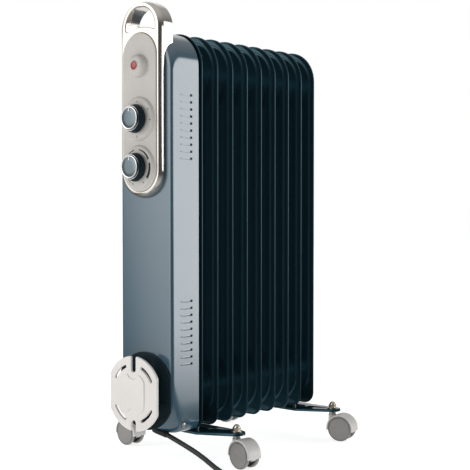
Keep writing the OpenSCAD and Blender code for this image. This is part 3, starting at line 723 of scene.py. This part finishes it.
def wedge_arc(bm, z, a0, a1, r, w0, w1, steps=14):
    """A printed arc on a dial that widens along its length; angles run clockwise from the top."""
    x = DIAL_FACE - 0.03
    rows = []
    for i in range(steps + 1):
        t = i / steps
        a = math.radians(90 - (a0 + (a1 - a0) * t))
        w = w0 + (w1 - w0) * t
        rows.append([(r - w / 2, a), (r + w / 2, a)])
    top, under = (
        [[bm.verts.new(Vector((at_x, -rr * math.cos(a), z + rr * math.sin(a))) * MM) for rr, a in row]
         for row in rows]
        for at_x in (x, x + 0.2)
    )
    for (a, b), (c, d) in zip(zip(top, top[1:]), zip(under, under[1:])):
        bm.faces.new((a[0], a[1], b[1], b[0]))
        bm.faces.new((c[0], d[0], d[1], c[1]))
        bm.faces.new((a[0], b[0], d[0], c[0]))
        bm.faces.new((a[1], c[1], d[1], b[1]))
    bm.faces.new((top[0][0], under[0][0], under[0][1], top[0][1]))
    bm.faces.new((top[-1][0], top[-1][1], under[-1][1], under[-1][0]))


def build_scales():
    """Plain wedges and ticks round the two knobs."""
    bm = bmesh.new()
    z = KNOB_Z["thermostat"]
    wedges = ((-150, -118, 0.6, 0.9), (-42, -14, 1.1, 1.5), (8, 64, 1.4, 3.4), (76, 128, 3.2, 4.2))
    for a0, a1, w0, w1 in wedges:
        wedge_arc(bm, z, a0, a1, 24.5, w0, w1)
    for a in (-160, 150):
        wedge_arc(bm, z, a - 2.5, a + 2.5, 24.5, 1.6, 1.6, 2)
    z = KNOB_Z["selector"]
    for a in (0, 60, 95, 180):
        wedge_arc(bm, z, a - 2.2, a + 2.2, 24, 1.4, 1.4, 2)
        if a:
            wedge_arc(bm, z, a - 1.0, a + 1.0, 26.3, 1.8, 1.8, 2)
    add_piece("dial_scales", bm, 32, "ink", "heater", ())


build_scales()


# ---- Knobs ----

def build_knob(name):
    body = name + "_knob"
    low, high = span(body)
    z, front = KNOB_Z[name], low[0]
    length = high[0] - front
    at = (high[0] * MM, 0, z * MM)
    axis = (-1, 0, 0)

    def grip(r, h, a):
        flute = 0.35 * (0.5 + 0.5 * math.cos(36 * a)) if 4 < h < 13 and r > 16 else 0
        return r - flute
    bm = bmesh.new()
    profile = [(15.5, 0.3), (17.2, 0), (17.6, 0.3), (19.6, 2.6), (20.0, 3.4), (19.9, 4.3), (19.3, 6.6),
               (18.4, 10), (17.5, 12.4), (16.9, 12.8), (16.6, 13.6), (16.2, length - 2.1),
               (15.3, length - 1.8), (2, length - 1.8)]
    add_lathe(bm, profile, at, axis, sides=144, wobble=grip)
    add_piece(body + "_grip", bm, 40, "dark", body, [body])
    bm = bmesh.new()
    ring = [(13.4, 1.9), (15.6, 1.7), (16.0, 1.4), (16.1, 1.0), (15.7, 0.35), (15.0, 0.02), (14.2, 0.15),
            (13.7, 0.5), (13.5, 1.1), (13.5, 1.8)]
    groove = [(16.0, 12.6), (17.2, 12.6), (17.4, 12.9), (17.15, 13.2), (16.0, 13.2)]
    for line in ([(r, length - h) for r, h in ring], groove):
        add_lathe(bm, line, at, axis, sides=112)
    add_piece(body + "_chrome", bm, 35, "trim", body, [body + "_trim"])
    bm = bmesh.new()
    face = [(13.6, 2.1), (13.6, 1.0), (13.2, 0.75), (8, 0.6), (0.3, 0.55)]
    add_lathe(bm, [(r, length - h) for r, h in face], at, axis, sides=96)
    add_piece(body + "_disc", bm, 35, "face", body, [body + "_face"])
    bm = bmesh.new()
    x1 = front - 0.02
    mark = [(-1.1, 13.6), (1.1, 13.6), (1.1, 10.0), (0.6, 9.4), (-0.6, 9.4), (-1.1, 10.0)]
    add_rings(bm, [[Vector((x, y, z + dz)) * MM for y, dz in mark] for x in (x1 + 2, x1 + 0.3)])
    add_piece(body + "_pointer", bm, 30, "ivory", body, ())
    bm = bmesh.new()
    for side in (-1, 1):
        groove = [(side * 1.1, 13.5), (side * 1.75, 13.4), (side * 1.6, 10.2), (side * 1.1, 9.8)]
        add_rings(bm, [[Vector((x, y, z + dz)) * MM for y, dz in groove] for x in (x1 + 2, x1 + 0.38)])
    add_piece(body + "_pointer_grooves", bm, 30, "dark", body, ())


for knob in KNOB_Z:
    build_knob(knob)


# ---- Cord winder ----

WINDER_Z = middle("cord_plate")[2]
PLATE_X0, PLATE_X1 = span("cord_plate")[0][0], span("cord_plate")[0][0] + 4
FLANGE_X = FRONT_X - 2.5
GROOVE = FLANGE_X - PLATE_X1
PLATE_R, PLATE_HALF_W = 52.5, 46
FLANGE_R, FLANGE_HALF_W, FLANGE_Z = 55, 49, WINDER_Z + 1
NOTCH_HALF_W, NOTCH_LIP = 4.6, 1.2
SLOT_R, SLOT_W, SLOT_ANGLE = 40, 4.4, 35
HUB_R, STUD_RING_R = 27, 38


def cropped(r, half_w, cz, steps=24):
    """A circle with flat sides."""
    a = math.degrees(math.acos(half_w / r))
    return arc(0, cz, r, a, 180 - a, steps) + arc(0, cz, r, 180 + a, 360 - a, steps)


def plate_outline():
    """Round plate with flat sides and a cord notch above and below."""
    r, cz, n = PLATE_R, WINDER_Z, NOTCH_HALF_W
    side = math.degrees(math.acos(PLATE_HALF_W / r))
    gap = math.degrees(math.asin((n + NOTCH_LIP) / r))

    def mouth(sign, depth):
        deep = cz + sign * (r - depth)
        lip = cz + sign * (math.sqrt(r * r - (n + NOTCH_LIP) ** 2) - NOTCH_LIP)
        pts = [(n, lip), (n, deep)]
        pts += [(n * math.cos(math.radians(t)), deep - sign * n * math.sin(math.radians(t)))
                for t in range(15, 180, 15)]
        pts += [(-n, deep), (-n, lip)]
        return pts if sign > 0 else [(-y, z) for y, z in pts]
    loop = arc(0, cz, r, side, 90 - gap, 14) + mouth(1, 18)
    loop += arc(0, cz, r, 90 + gap, 180 - side, 14) + arc(0, cz, r, 180 + side, 270 - gap, 14)
    loop += mouth(-1, 11) + arc(0, cz, r, 270 + gap, 360 - side, 14)
    return loop


def slot_end(at, first):
    """Half circle round one end of a curved slot."""
    a = math.radians(at)
    turned = [math.radians(first + 180 * k / 6) for k in range(1, 6)]
    return [(SLOT_R * math.cos(a) + SLOT_W / 2 * math.cos(t),
             WINDER_Z + SLOT_R * math.sin(a) + SLOT_W / 2 * math.sin(t)) for t in turned]


def slot_loop(a0, a1):
    loop = arc(0, WINDER_Z, SLOT_R + SLOT_W / 2, a0, a1, 14) + slot_end(a1, a1)
    return loop + arc(0, WINDER_Z, SLOT_R - SLOT_W / 2, a1, a0, 14) + slot_end(a0, a0 + 180)


def inner_field():
    """Stepped field of the plate, hollowed round the two notches."""
    w, h, bite = 22, 27, 13
    corner = [(w, 0), (w, h - 9), (w - 5, h - 3), (w - 9, h - 1)]
    loop = []
    for sign in (1, -1):
        loop += [(sign * y, WINDER_Z + sign * z) for y, z in corner]
        for k in range(9):
            a = math.radians(20 + 140 * k / 8)
            y, z = bite * 0.9 * math.cos(a), h + 3 - bite * 0.75 * math.sin(a)
            loop.append((sign * y, WINDER_Z + sign * z))
        loop += [(-sign * y, WINDER_Z + sign * z) for y, z in corner[:0:-1]]
    return loop


def build_winder_plate():
    slots = [slot_loop(a, a + SLOT_ANGLE) for a in (31, 114, 211, 294)]
    bm = extruded("plate", [plate_outline()] + slots, PLATE_X0, PLATE_X1, 1.0, edge_steps=4)
    merge(bm, extruded("plate_field", [inner_field()], PLATE_X0 - 1.3, PLATE_X0 + 0.7, 0.6, edge_steps=3))
    post = [(2, 0), (4.5, 0), (4.5, GROOVE), (1.7, GROOVE), (1.7, 6)]
    for y in (-12, 12):
        add_lathe(bm, post, ((PLATE_X1 - 0.2) * MM, y * MM, WINDER_Z * MM), (1, 0, 0), sides=32)
    add_piece("winder_plate", bm, 40, "ivory", "heater", ["cord_plate"])


def build_winder_drum():
    """Rear flange with a raised rib and six studs, and the hub that the cord winds round."""
    bm = extruded("flange", [cropped(FLANGE_R, FLANGE_HALF_W, FLANGE_Z, 36)], FLANGE_X, FRONT_X, 0.8)
    rib = [cropped(50, 46.5, FLANGE_Z, 36), cropped(47.5, 44, FLANGE_Z, 36)]
    merge(bm, extruded("flange_rib", rib, FLANGE_X - 0.9, FLANGE_X + 0.5, 0.4))
    hub = [(HUB_R - 3, 0.3), (HUB_R, 0.3), (HUB_R, GROOVE), (HUB_R + 3, GROOVE + 2.4),
           (HUB_R - 3, GROOVE + 2.4)]
    add_lathe(bm, rounded(hub, 1.5), (PLATE_X1 * MM, 0, WINDER_Z * MM), (1, 0, 0), sides=72)
    for k in range(6):
        a = math.radians(60 * k + 20)
        y, z = STUD_RING_R * math.cos(a), WINDER_Z + STUD_RING_R * math.sin(a)
        add_lathe(bm, rounded([(0.3, 0), (3.2, 0), (2.8, 1.8), (0.3, 2.0)], 0.6),
                  (FLANGE_X * MM, y * MM, z * MM), (-1, 0, 0), sides=20)
    add_piece("winder_drum", bm, 40, "dark", "heater", ["cord_drum"])


build_winder_plate()
build_winder_drum()


# ---- Feet ----

FOOT_HALF_W, FOOT_MID, FOOT_MID_Z, FOOT_RISE, FOOT_TIP_R = 25, 46, 45.5, 3.2, 12.5
STEM_Y = span("caster_stems")[1][1] - 5
LIP = 4.5


def foot_half_width(y):
    y = abs(y)
    if y <= FOOT_MID:
        return FOOT_HALF_W
    if y <= STEM_Y:
        t = (y - FOOT_MID) / (STEM_Y - FOOT_MID)
        return FOOT_HALF_W + (FOOT_TIP_R - FOOT_HALF_W) * t
    return math.sqrt(max(FOOT_TIP_R ** 2 - (y - STEM_Y) ** 2, 0.02))


def foot_z(y):
    return FOOT_MID_Z + FOOT_RISE * max(abs(y) - FOOT_MID, 0) / (STEM_Y - FOOT_MID)


def build_foot(name, x0):
    """Pressed steel bracket: flat middle, rising wings, rolled-down lips and a rib on each wing."""
    bm = bmesh.new()
    ys = [STEM_Y + FOOT_TIP_R * math.sin(math.pi / 2 * k / 9) for k in range(9, 0, -1)]
    ys += [STEM_Y - (STEM_Y - FOOT_MID) * k / 14 for k in range(15)]
    ys += [FOOT_MID - 2, 30, 15]
    ys = ys + [0] + [-y for y in ys[::-1]]
    rows = []
    for y in ys:
        w, z = foot_half_width(y), foot_z(y)
        wing = ramp01(abs(y), FOOT_MID + 2, FOOT_MID + 10) * (1 - ramp01(abs(y), STEM_Y - 14, STEM_Y - 8))
        row = []
        for side in (-1, 1):
            edge = [(w, z - LIP), (w, z - 1.9), (w - 0.15, z - 1.1), (w - 0.6, z - 0.45), (w - 1.4, z - 0.08),
                    (w - 2.4, z)]
            rib = [(6.2, 0), (5.0, 0.25), (3.8, 1.1), (2.2, 1.5), (0.9, 1.6)]
            inner = [(min(a, max(w - 2.6 - 0.1 * k, 0.1)) if w < 9 else a, z + rise * wing)
                     for k, (a, rise) in enumerate(rib)]
            pts = [(side * max(a, 0.05), b) for a, b in edge + inner]
            row += pts if side < 0 else pts[::-1]
        rows.append([Vector((x0 + a, y, b)) * MM for a, b in row])
    grid = [[bm.verts.new(p) for p in row] for row in rows]
    for a, b in zip(grid, grid[1:]):
        for k in range(len(a) - 1):
            bm.faces.new((a[k], a[k + 1], b[k + 1], b[k]))
    under = bmesh.ops.extrude_face_region(bm, geom=bm.faces[:])
    moved = [g for g in under["geom"] if isinstance(g, bmesh.types.BMVert)]
    for v in moved:
        off_x = v.co.x / MM - x0
        w = foot_half_width(v.co.y / MM)
        at_edge = abs(off_x) > w - 1.0
        v.co.z -= 0 if at_edge else 1.5 * MM
        v.co.x -= math.copysign(1.4 * MM, off_x) if at_edge and w > 3 else 0
    for side in (-1, 1):
        at = (x0 * MM, side * STEM_Y * MM, (foot_z(STEM_Y) - 1.2) * MM)
        add_lathe(bm, rounded([(3.4, 0), (9, 0), (8.4, 1.6), (3.4, 1.7)], 0.5), at, (0, 0, 1), sides=40)
    add_piece(name + "_bracket", bm, 35, "fin", "heater", [name])


FOOT_X = {"front_foot": middle("front_foot")[0], "rear_foot": middle("rear_foot")[0]}
for foot, x in FOOT_X.items():
    build_foot(foot, x)


def hex_prism(bm, at, across, z0, z1, chamfer):
    rings = []
    for inset, z in ((chamfer, z0), (0, z0 + chamfer * 0.7), (0, z1 - chamfer * 0.7), (chamfer, z1)):
        r = across / 2 / math.cos(math.pi / 6) - inset
        turns = [k * math.pi / 3 for k in range(6)]
        rings.append([(Vector((at[0], at[1], z)) + Vector((r * math.cos(a), r * math.sin(a), 0))) * MM
                      for a in turns])
    add_rings(bm, rings)


def build_cap_nuts():
    """A washer, a hexagon and a dome over each stem."""
    bm = bmesh.new()
    base = span("caster_cap_nuts")[0][2]
    turns = [math.pi / 2 * k / 9 for k in range(9)]
    dome = [(5.0, 5.4)] + [(4.9 * math.cos(t), 5.6 + 4.7 * math.sin(t)) for t in turns] + [(0.2, 10.35)]
    for x in FOOT_X.values():
        for side in (-1, 1):
            at = (x * MM, side * STEM_Y * MM, base * MM)
            add_lathe(bm, rounded([(3.2, 0), (8, 0), (8, 1.2), (3.2, 1.2)], 0.4), at, (0, 0, 1), sides=48)
            hex_prism(bm, (x, side * STEM_Y), 10.6, base + 1.2, base + 5.9, 0.6)
            add_lathe(bm, dome, at, (0, 0, 1), sides=40)
    add_piece("cap_nuts", bm, 35, "nut", "heater", ["caster_cap_nuts"])


build_cap_nuts()


# ---- Casters ----

CASTERS = ("front_right", "front_left", "rear_right", "rear_left")
AXLE_Z = 19.5
HOOD_R, HOOD_CAVITY_R = 22, 20.4
HOOD_HALF, WHEEL_IN, WHEEL_OUT = 12.2, 6.8, 12.8
TRAIL = 16.2


def caster_frame(name):
    """Axes of a caster: its stem's place, the trail direction and the axle direction."""
    joints = {j["name"]: j for j in RECORD["behaviour"]["joints"]}
    stem = Vector(joints[name + "_swivel"]["pos_m"]) / MM
    wheel = Vector(joints[name + "_wheel_a_roll"]["pos_m"]) / MM
    stem.z = 0
    trail = Vector((wheel.x - stem.x, wheel.y - stem.y, 0)).normalized()
    return stem, trail, Vector((trail.y, -trail.x, 0))


def place(axes, w, y, z):
    """A point from millimetres across, along the trail and up."""
    stem, trail, axle = axes
    return (stem + axle * w + trail * y + Vector((0, 0, z))) * MM


def hood_section(r, half, edge):
    """Cross-section of the hood from one side to the other: (across, radius)."""
    out = [(-half, r - 2.4), (-half, r - edge)]
    turns = [math.pi / 2 * k / 5 for k in range(1, 6)]
    out += [(-half + edge * (1 - math.cos(t)), r - edge + edge * math.sin(t)) for t in turns]
    out += [(w, r) for w in (-half * 0.5, 0, half * 0.5)]
    return out + [(-a, b) for a, b in out[:7][::-1]]


def build_hood(name):
    """Open shell over two wheels, a web and stem socket between them, and a black disc as painted shade in
    the gap behind each wheel.
    """
    at = caster_frame(name)
    bm = bmesh.new()
    section = hood_section(HOOD_R, HOOD_HALF, 1.5)
    inner = [(a * 0.93, min(b, HOOD_CAVITY_R + 0.1)) for a, b in section[2:-2]][::-1]
    loop = section + inner
    rings = []
    for i in range(45):
        a = math.radians(-9 + 198 * i / 44)
        rings.append([place(at, w, TRAIL + r * math.cos(a), AXLE_Z + r * math.sin(a)) for w, r in loop])
    add_rings(bm, rings)
    turns = [math.radians(-14 + 208 * i / 24) for i in range(25)]
    web_r = HOOD_CAVITY_R + 0.4
    web = [(TRAIL + web_r * math.cos(a), AXLE_Z + web_r * math.sin(a)) for a in turns]
    web += [(TRAIL - 12, 11), (TRAIL - 4, 9.6), (TRAIL + 6, 9.6), (TRAIL + 13, 11.2)]
    rings = [[place(at, w, y, z) for y, z in web] for w in (-3, 3)]
    add_rings(bm, rings)
    socket = rounded([(0.5, 0), (6.1, 0), (6.2, 17.2), (5.6, 18.1), (3.2, 18.2)], 0.8)
    add_lathe(bm, socket, place(at, 0, 0, 22), (0, 0, 1), sides=40)
    add_piece(name + "_shell", bm, 38, "hood", name + "_caster", [name + "_hood"])
    # Black discs on both sides of the web, inboard of the wheels: painted shade in the gap between web and
    # wheel
    painted_shade_discs = bmesh.new()
    for side in (-1, 1):
        add_lathe(painted_shade_discs, rounded([(2.2, 2.9), (17.5, 2.9), (17.5, 6.3), (2.2, 6.3)], 0.8),
                  place(at, 0, TRAIL, AXLE_Z), at[2] * side, sides=56)
    add_piece(name + "_core", painted_shade_discs, 38, "black", name + "_caster", ())


def build_wheel(name, which):
    at = caster_frame(name)
    sign = 1 if which == "a" else -1
    bm = bmesh.new()
    back = [(2.1, 0), (16.5, 0), (18.6, 0.4), (19.4, 1.2), (19.5, 2.0)]
    face = [(19.5, 2.4), (19.3, 1.7), (18.8, 1.1), (18.2, 1.0), (17.9, 1.7), (17.3, 1.8), (16.9, 1.1),
            (16.2, 0.5), (12, 0.1), (0.3, 0)]
    profile = [(r, WHEEL_IN + w) for r, w in back] + [(r, WHEEL_OUT - w) for r, w in face]
    add_lathe(bm, profile, place(at, 0, TRAIL, AXLE_Z), at[2] * sign, sides=88)
    body = "%s_wheel_%s" % (name, which)
    add_piece(body + "_disc", bm, 35, "wheel", body, [body])


for caster in CASTERS:
    build_hood(caster)
    for which in "ab":
        build_wheel(caster, which)


# ---- Plug, tie and strain relief ----

PLUG_Y = middle("mains_plug")[1]


def build_plug():
    """Round two-pin plug with a bellows tail, lying beside the coil."""
    tail, _, plug_z = TAIL_AT
    bm = bmesh.new()

    def grips(r, h, a):
        return r - (0.5 * (0.5 + 0.5 * math.cos(20 * a)) if 17 < h < 35 and r > 12 else 0)
    profile = [(3.5, -14), (4.4, -13.6), (4.6, -10), (4.9, -8), (4.9, -7), (4.5, -6.8), (4.5, -6.0),
               (5.3, -5.6), (5.3, -4.4), (4.9, -4.2), (4.9, -3.4), (5.9, -2.8), (6.1, -1.6), (5.5, -1.2),
               (6.4, 0.4), (8.8, 1.6), (10.4, 5), (12.8, 10), (14.6, 14.5), (16.4, 16.4), (17.6, 18.2),
               (18, 20.5), (18, 34.6), (17.5, 36.8), (16.6, 37.9), (0.4, 38)]
    add_lathe(bm, profile, (tail * MM, PLUG_Y * MM, plug_z * MM), (-1, 0, 0), sides=80, wobble=grips)
    shell = add_piece("plug_body", bm, 40, "black", "heater", ["mains_plug"])
    bm = bmesh.new()
    pin = [(2.4, -3), (2.4, 17.6), (2.2, 18.4), (1.6, 18.9), (0.3, 19)]
    for side in (-1, 1):
        add_lathe(bm, pin, ((tail - 38) * MM, (PLUG_Y + side * 9.5) * MM, plug_z * MM), (-1, 0, 0), sides=32)
    pins = add_piece("plug_pins", bm, 35, "nickel", "heater", ())
    return [shell, pins]


plug = build_plug()


def build_tie():
    """Flat strap round the bundle of turns."""
    bm = bmesh.new()
    a = math.radians(62)
    out = Vector((math.cos(a), math.sin(a), 0))
    along = Vector((-math.sin(a), math.cos(a), 0))
    centre = Vector(COIL_AT) + out * COIL_R
    steps = 40
    rings = []
    for k in range(steps):
        t = 2 * math.pi * k / steps
        ring = []
        for r, w in ((10.3, -2.6), (11.2, -2.6), (11.4, 0), (11.2, 2.6), (10.3, 2.6)):
            squashed = Vector((0, 0, max(r * math.sin(t), -10.4)))
            ring.append((centre + out * r * math.cos(t) + squashed + along * w) * MM)
        rings.append(ring)
    rows = [[bm.verts.new(p) for p in ring] for ring in rings]
    for p, q in zip(rows, rows[1:] + rows[:1]):
        for k in range(5):
            bm.faces.new((p[k], p[(k + 1) % 5], q[(k + 1) % 5], q[k]))
    return add_piece("coil_tie", bm, 35, "black", "heater", ())


tie = build_tie()


def build_gland():
    """Ribbed strain relief where the cord leaves the control box."""
    start = Vector(CORD_ROUTE[0])
    axis = (Vector(CORD_ROUTE[1]) - start).normalized()
    taper = [(6.4 - 1.8 * k / 30, -18.5 + 17.5 * k / 30) for k in range(31)]
    profile = [(3.4, -24), (6.5, -24), (6.5, -19)] + taper + [(4.5, -0.4), (4.1, 0), (3.4, 0)]
    bm = bmesh.new()
    add_lathe(bm, profile, start * MM, axis, sides=40,
              wobble=lambda r, h, a: r - (0.5 if -17 < h < -2 and int((h + 20) / 1.6) % 2 else 0))
    add_piece("strain_relief", bm, 30, "black", "heater", ["cord_gland"])


build_gland()


# ---- Screws and the CAD pieces that stay ----

def build_side_screws():
    bm = bmesh.new()
    x, _, z = middle("cover_screws")
    head = [(3.4, 0), (3.6, 0.4), (3.3, 1.0), (2.4, 1.45), (1.5, 1.6), (0.9, 1.0), (0.2, 0.8)]
    for side in (-1, 1):
        add_lathe(bm, head, (x * MM, side * BOX_HALF * MM, z * MM), (0, side, 0), sides=32)
    add_piece("side_screws", bm, 35, "zinc", "heater", ["cover_screws"])


build_side_screws()

KEPT = {
    "element": ["heating_element"],
    "brass": ["element_flange"],
    "fin": ["box_back"],
    "lamp": ["indicator_lamp"],
    "bakelite": ["thermostat", "selector_switch"],
    "black": ["thermal_cutout"],
    "ivory": ["terminal_block"],
    "zinc": ["thermostat_spindle", "selector_spindle", "panel_screws", "cord_plate_screws",
             "foot_u_bolts", "foot_nuts", "caster_stems"] + [caster + "_axle" for caster in CASTERS],
}
for key, names in KEPT.items():
    for node in names:
        for material_slot in frame["nodes"][node].material_slots:
            material_slot.material = M[key]


# ---- Studio ----

FLOOR_HALF, FLOOR_DROP, FLOOR_GLOW = 6, 0.0005, 0.72


def add_floor():
    """White floor, seen and shadowed but never mirrored."""
    bm = bmesh.new()
    bmesh.ops.create_grid(bm, x_segments=2, y_segments=2, size=FLOOR_HALF)
    mesh = bpy.data.meshes.new("studio_floor")
    bm.to_mesh(mesh)
    bm.free()
    floor = bpy.data.objects.new("studio_floor", mesh)
    floor.location.z = -FLOOR_DROP
    mesh.materials.append(M["floor"])
    shader = M["floor"].node_tree.nodes["Principled BSDF"]
    shader.inputs["Emission Color"].default_value = (1, 1, 1, 1)
    shader.inputs["Emission Strength"].default_value = FLOOR_GLOW
    floor.visible_glossy = False
    bpy.context.scene.collection.objects.link(floor)


add_floor()

# Direction, where the glow starts and is full (as cosines), brightness
ROOM_GLOWS = [
    ((0, 0, 1), -1.2, -1.1, 0.07),
    ((-0.83, 0.385, 0.405), 0.695, 0.951, 1.62),
    ((-1, 0, 0), 0.85, 0.966, 0.4),
    ((0.7, 0.7, 0), 0.60, 0.92, 0.7),
    ((0.738, -0.664, 0.122), 0.9426, 0.9724, 2.8),
    ((0.357, -0.930, 0.087), 0.9863, 0.9962, 2.2),
    ((0, 0, 1), 0.25, 0.95, 0.45),
    ((0, 0, -1), 0.15, 0.80, 0.45),
]
ROOM_DIFFUSE = 0.40


def glow(nodes, links, direction, start, full, strength):
    """Brightness that grows as a ray turns towards a direction."""
    around = nodes.new("ShaderNodeTexCoord")
    turn = nodes.new("ShaderNodeVectorMath")
    turn.operation = "DOT_PRODUCT"
    turn.inputs[1].default_value = Vector(direction).normalized()
    links.new(around.outputs["Generated"], turn.inputs[0])
    rise = map_range(nodes, start, full, 0, strength)
    rise.interpolation_type = "SMOOTHSTEP"
    links.new(turn.outputs["Value"], rise.inputs["Value"])
    return rise.outputs["Result"]


def add_world():
    """White all round for the view, soft for matt surfaces and a dark room with pale cards for gloss."""
    world = bpy.data.worlds.new("studio")
    bpy.context.scene.world = world
    world.use_nodes = True
    nodes, links = world.node_tree.nodes, world.node_tree.links
    total = None
    for direction, start, full, strength in ROOM_GLOWS:
        part = glow(nodes, links, direction, start, full, strength)
        if total is None:
            total = part
        else:
            add = nodes.new("ShaderNodeMath")
            links.new(total, add.inputs[0])
            links.new(part, add.inputs[1])
            total = add.outputs["Value"]
    rays = nodes.new("ShaderNodeLightPath")
    mirrored = nodes.new("ShaderNodeMix")
    links.new(rays.outputs["Is Glossy Ray"], mirrored.inputs["Factor"])
    mirrored.inputs["A"].default_value = ROOM_DIFFUSE
    links.new(total, mirrored.inputs["B"])
    seen = nodes.new("ShaderNodeMix")
    links.new(rays.outputs["Is Camera Ray"], seen.inputs["Factor"])
    links.new(mirrored.outputs["Result"], seen.inputs["A"])
    seen.inputs["B"].default_value = 1.0
    nodes["Background"].inputs["Color"].default_value = (1, 1, 1, 1)
    links.new(seen.outputs["Result"], nodes["Background"].inputs["Strength"])


add_world()
add_area("side_softbox", (0.80, -0.90, 0.53), (-0.11, -0.05, 0.53), (0.50, 1.18), 2.7)
add_area("key", (-1.6, 1.2, 0.8), (0, 0, 0.3), (0.9, 0.9), 12.2)
bpy.context.scene.view_settings.view_transform = "Standard"
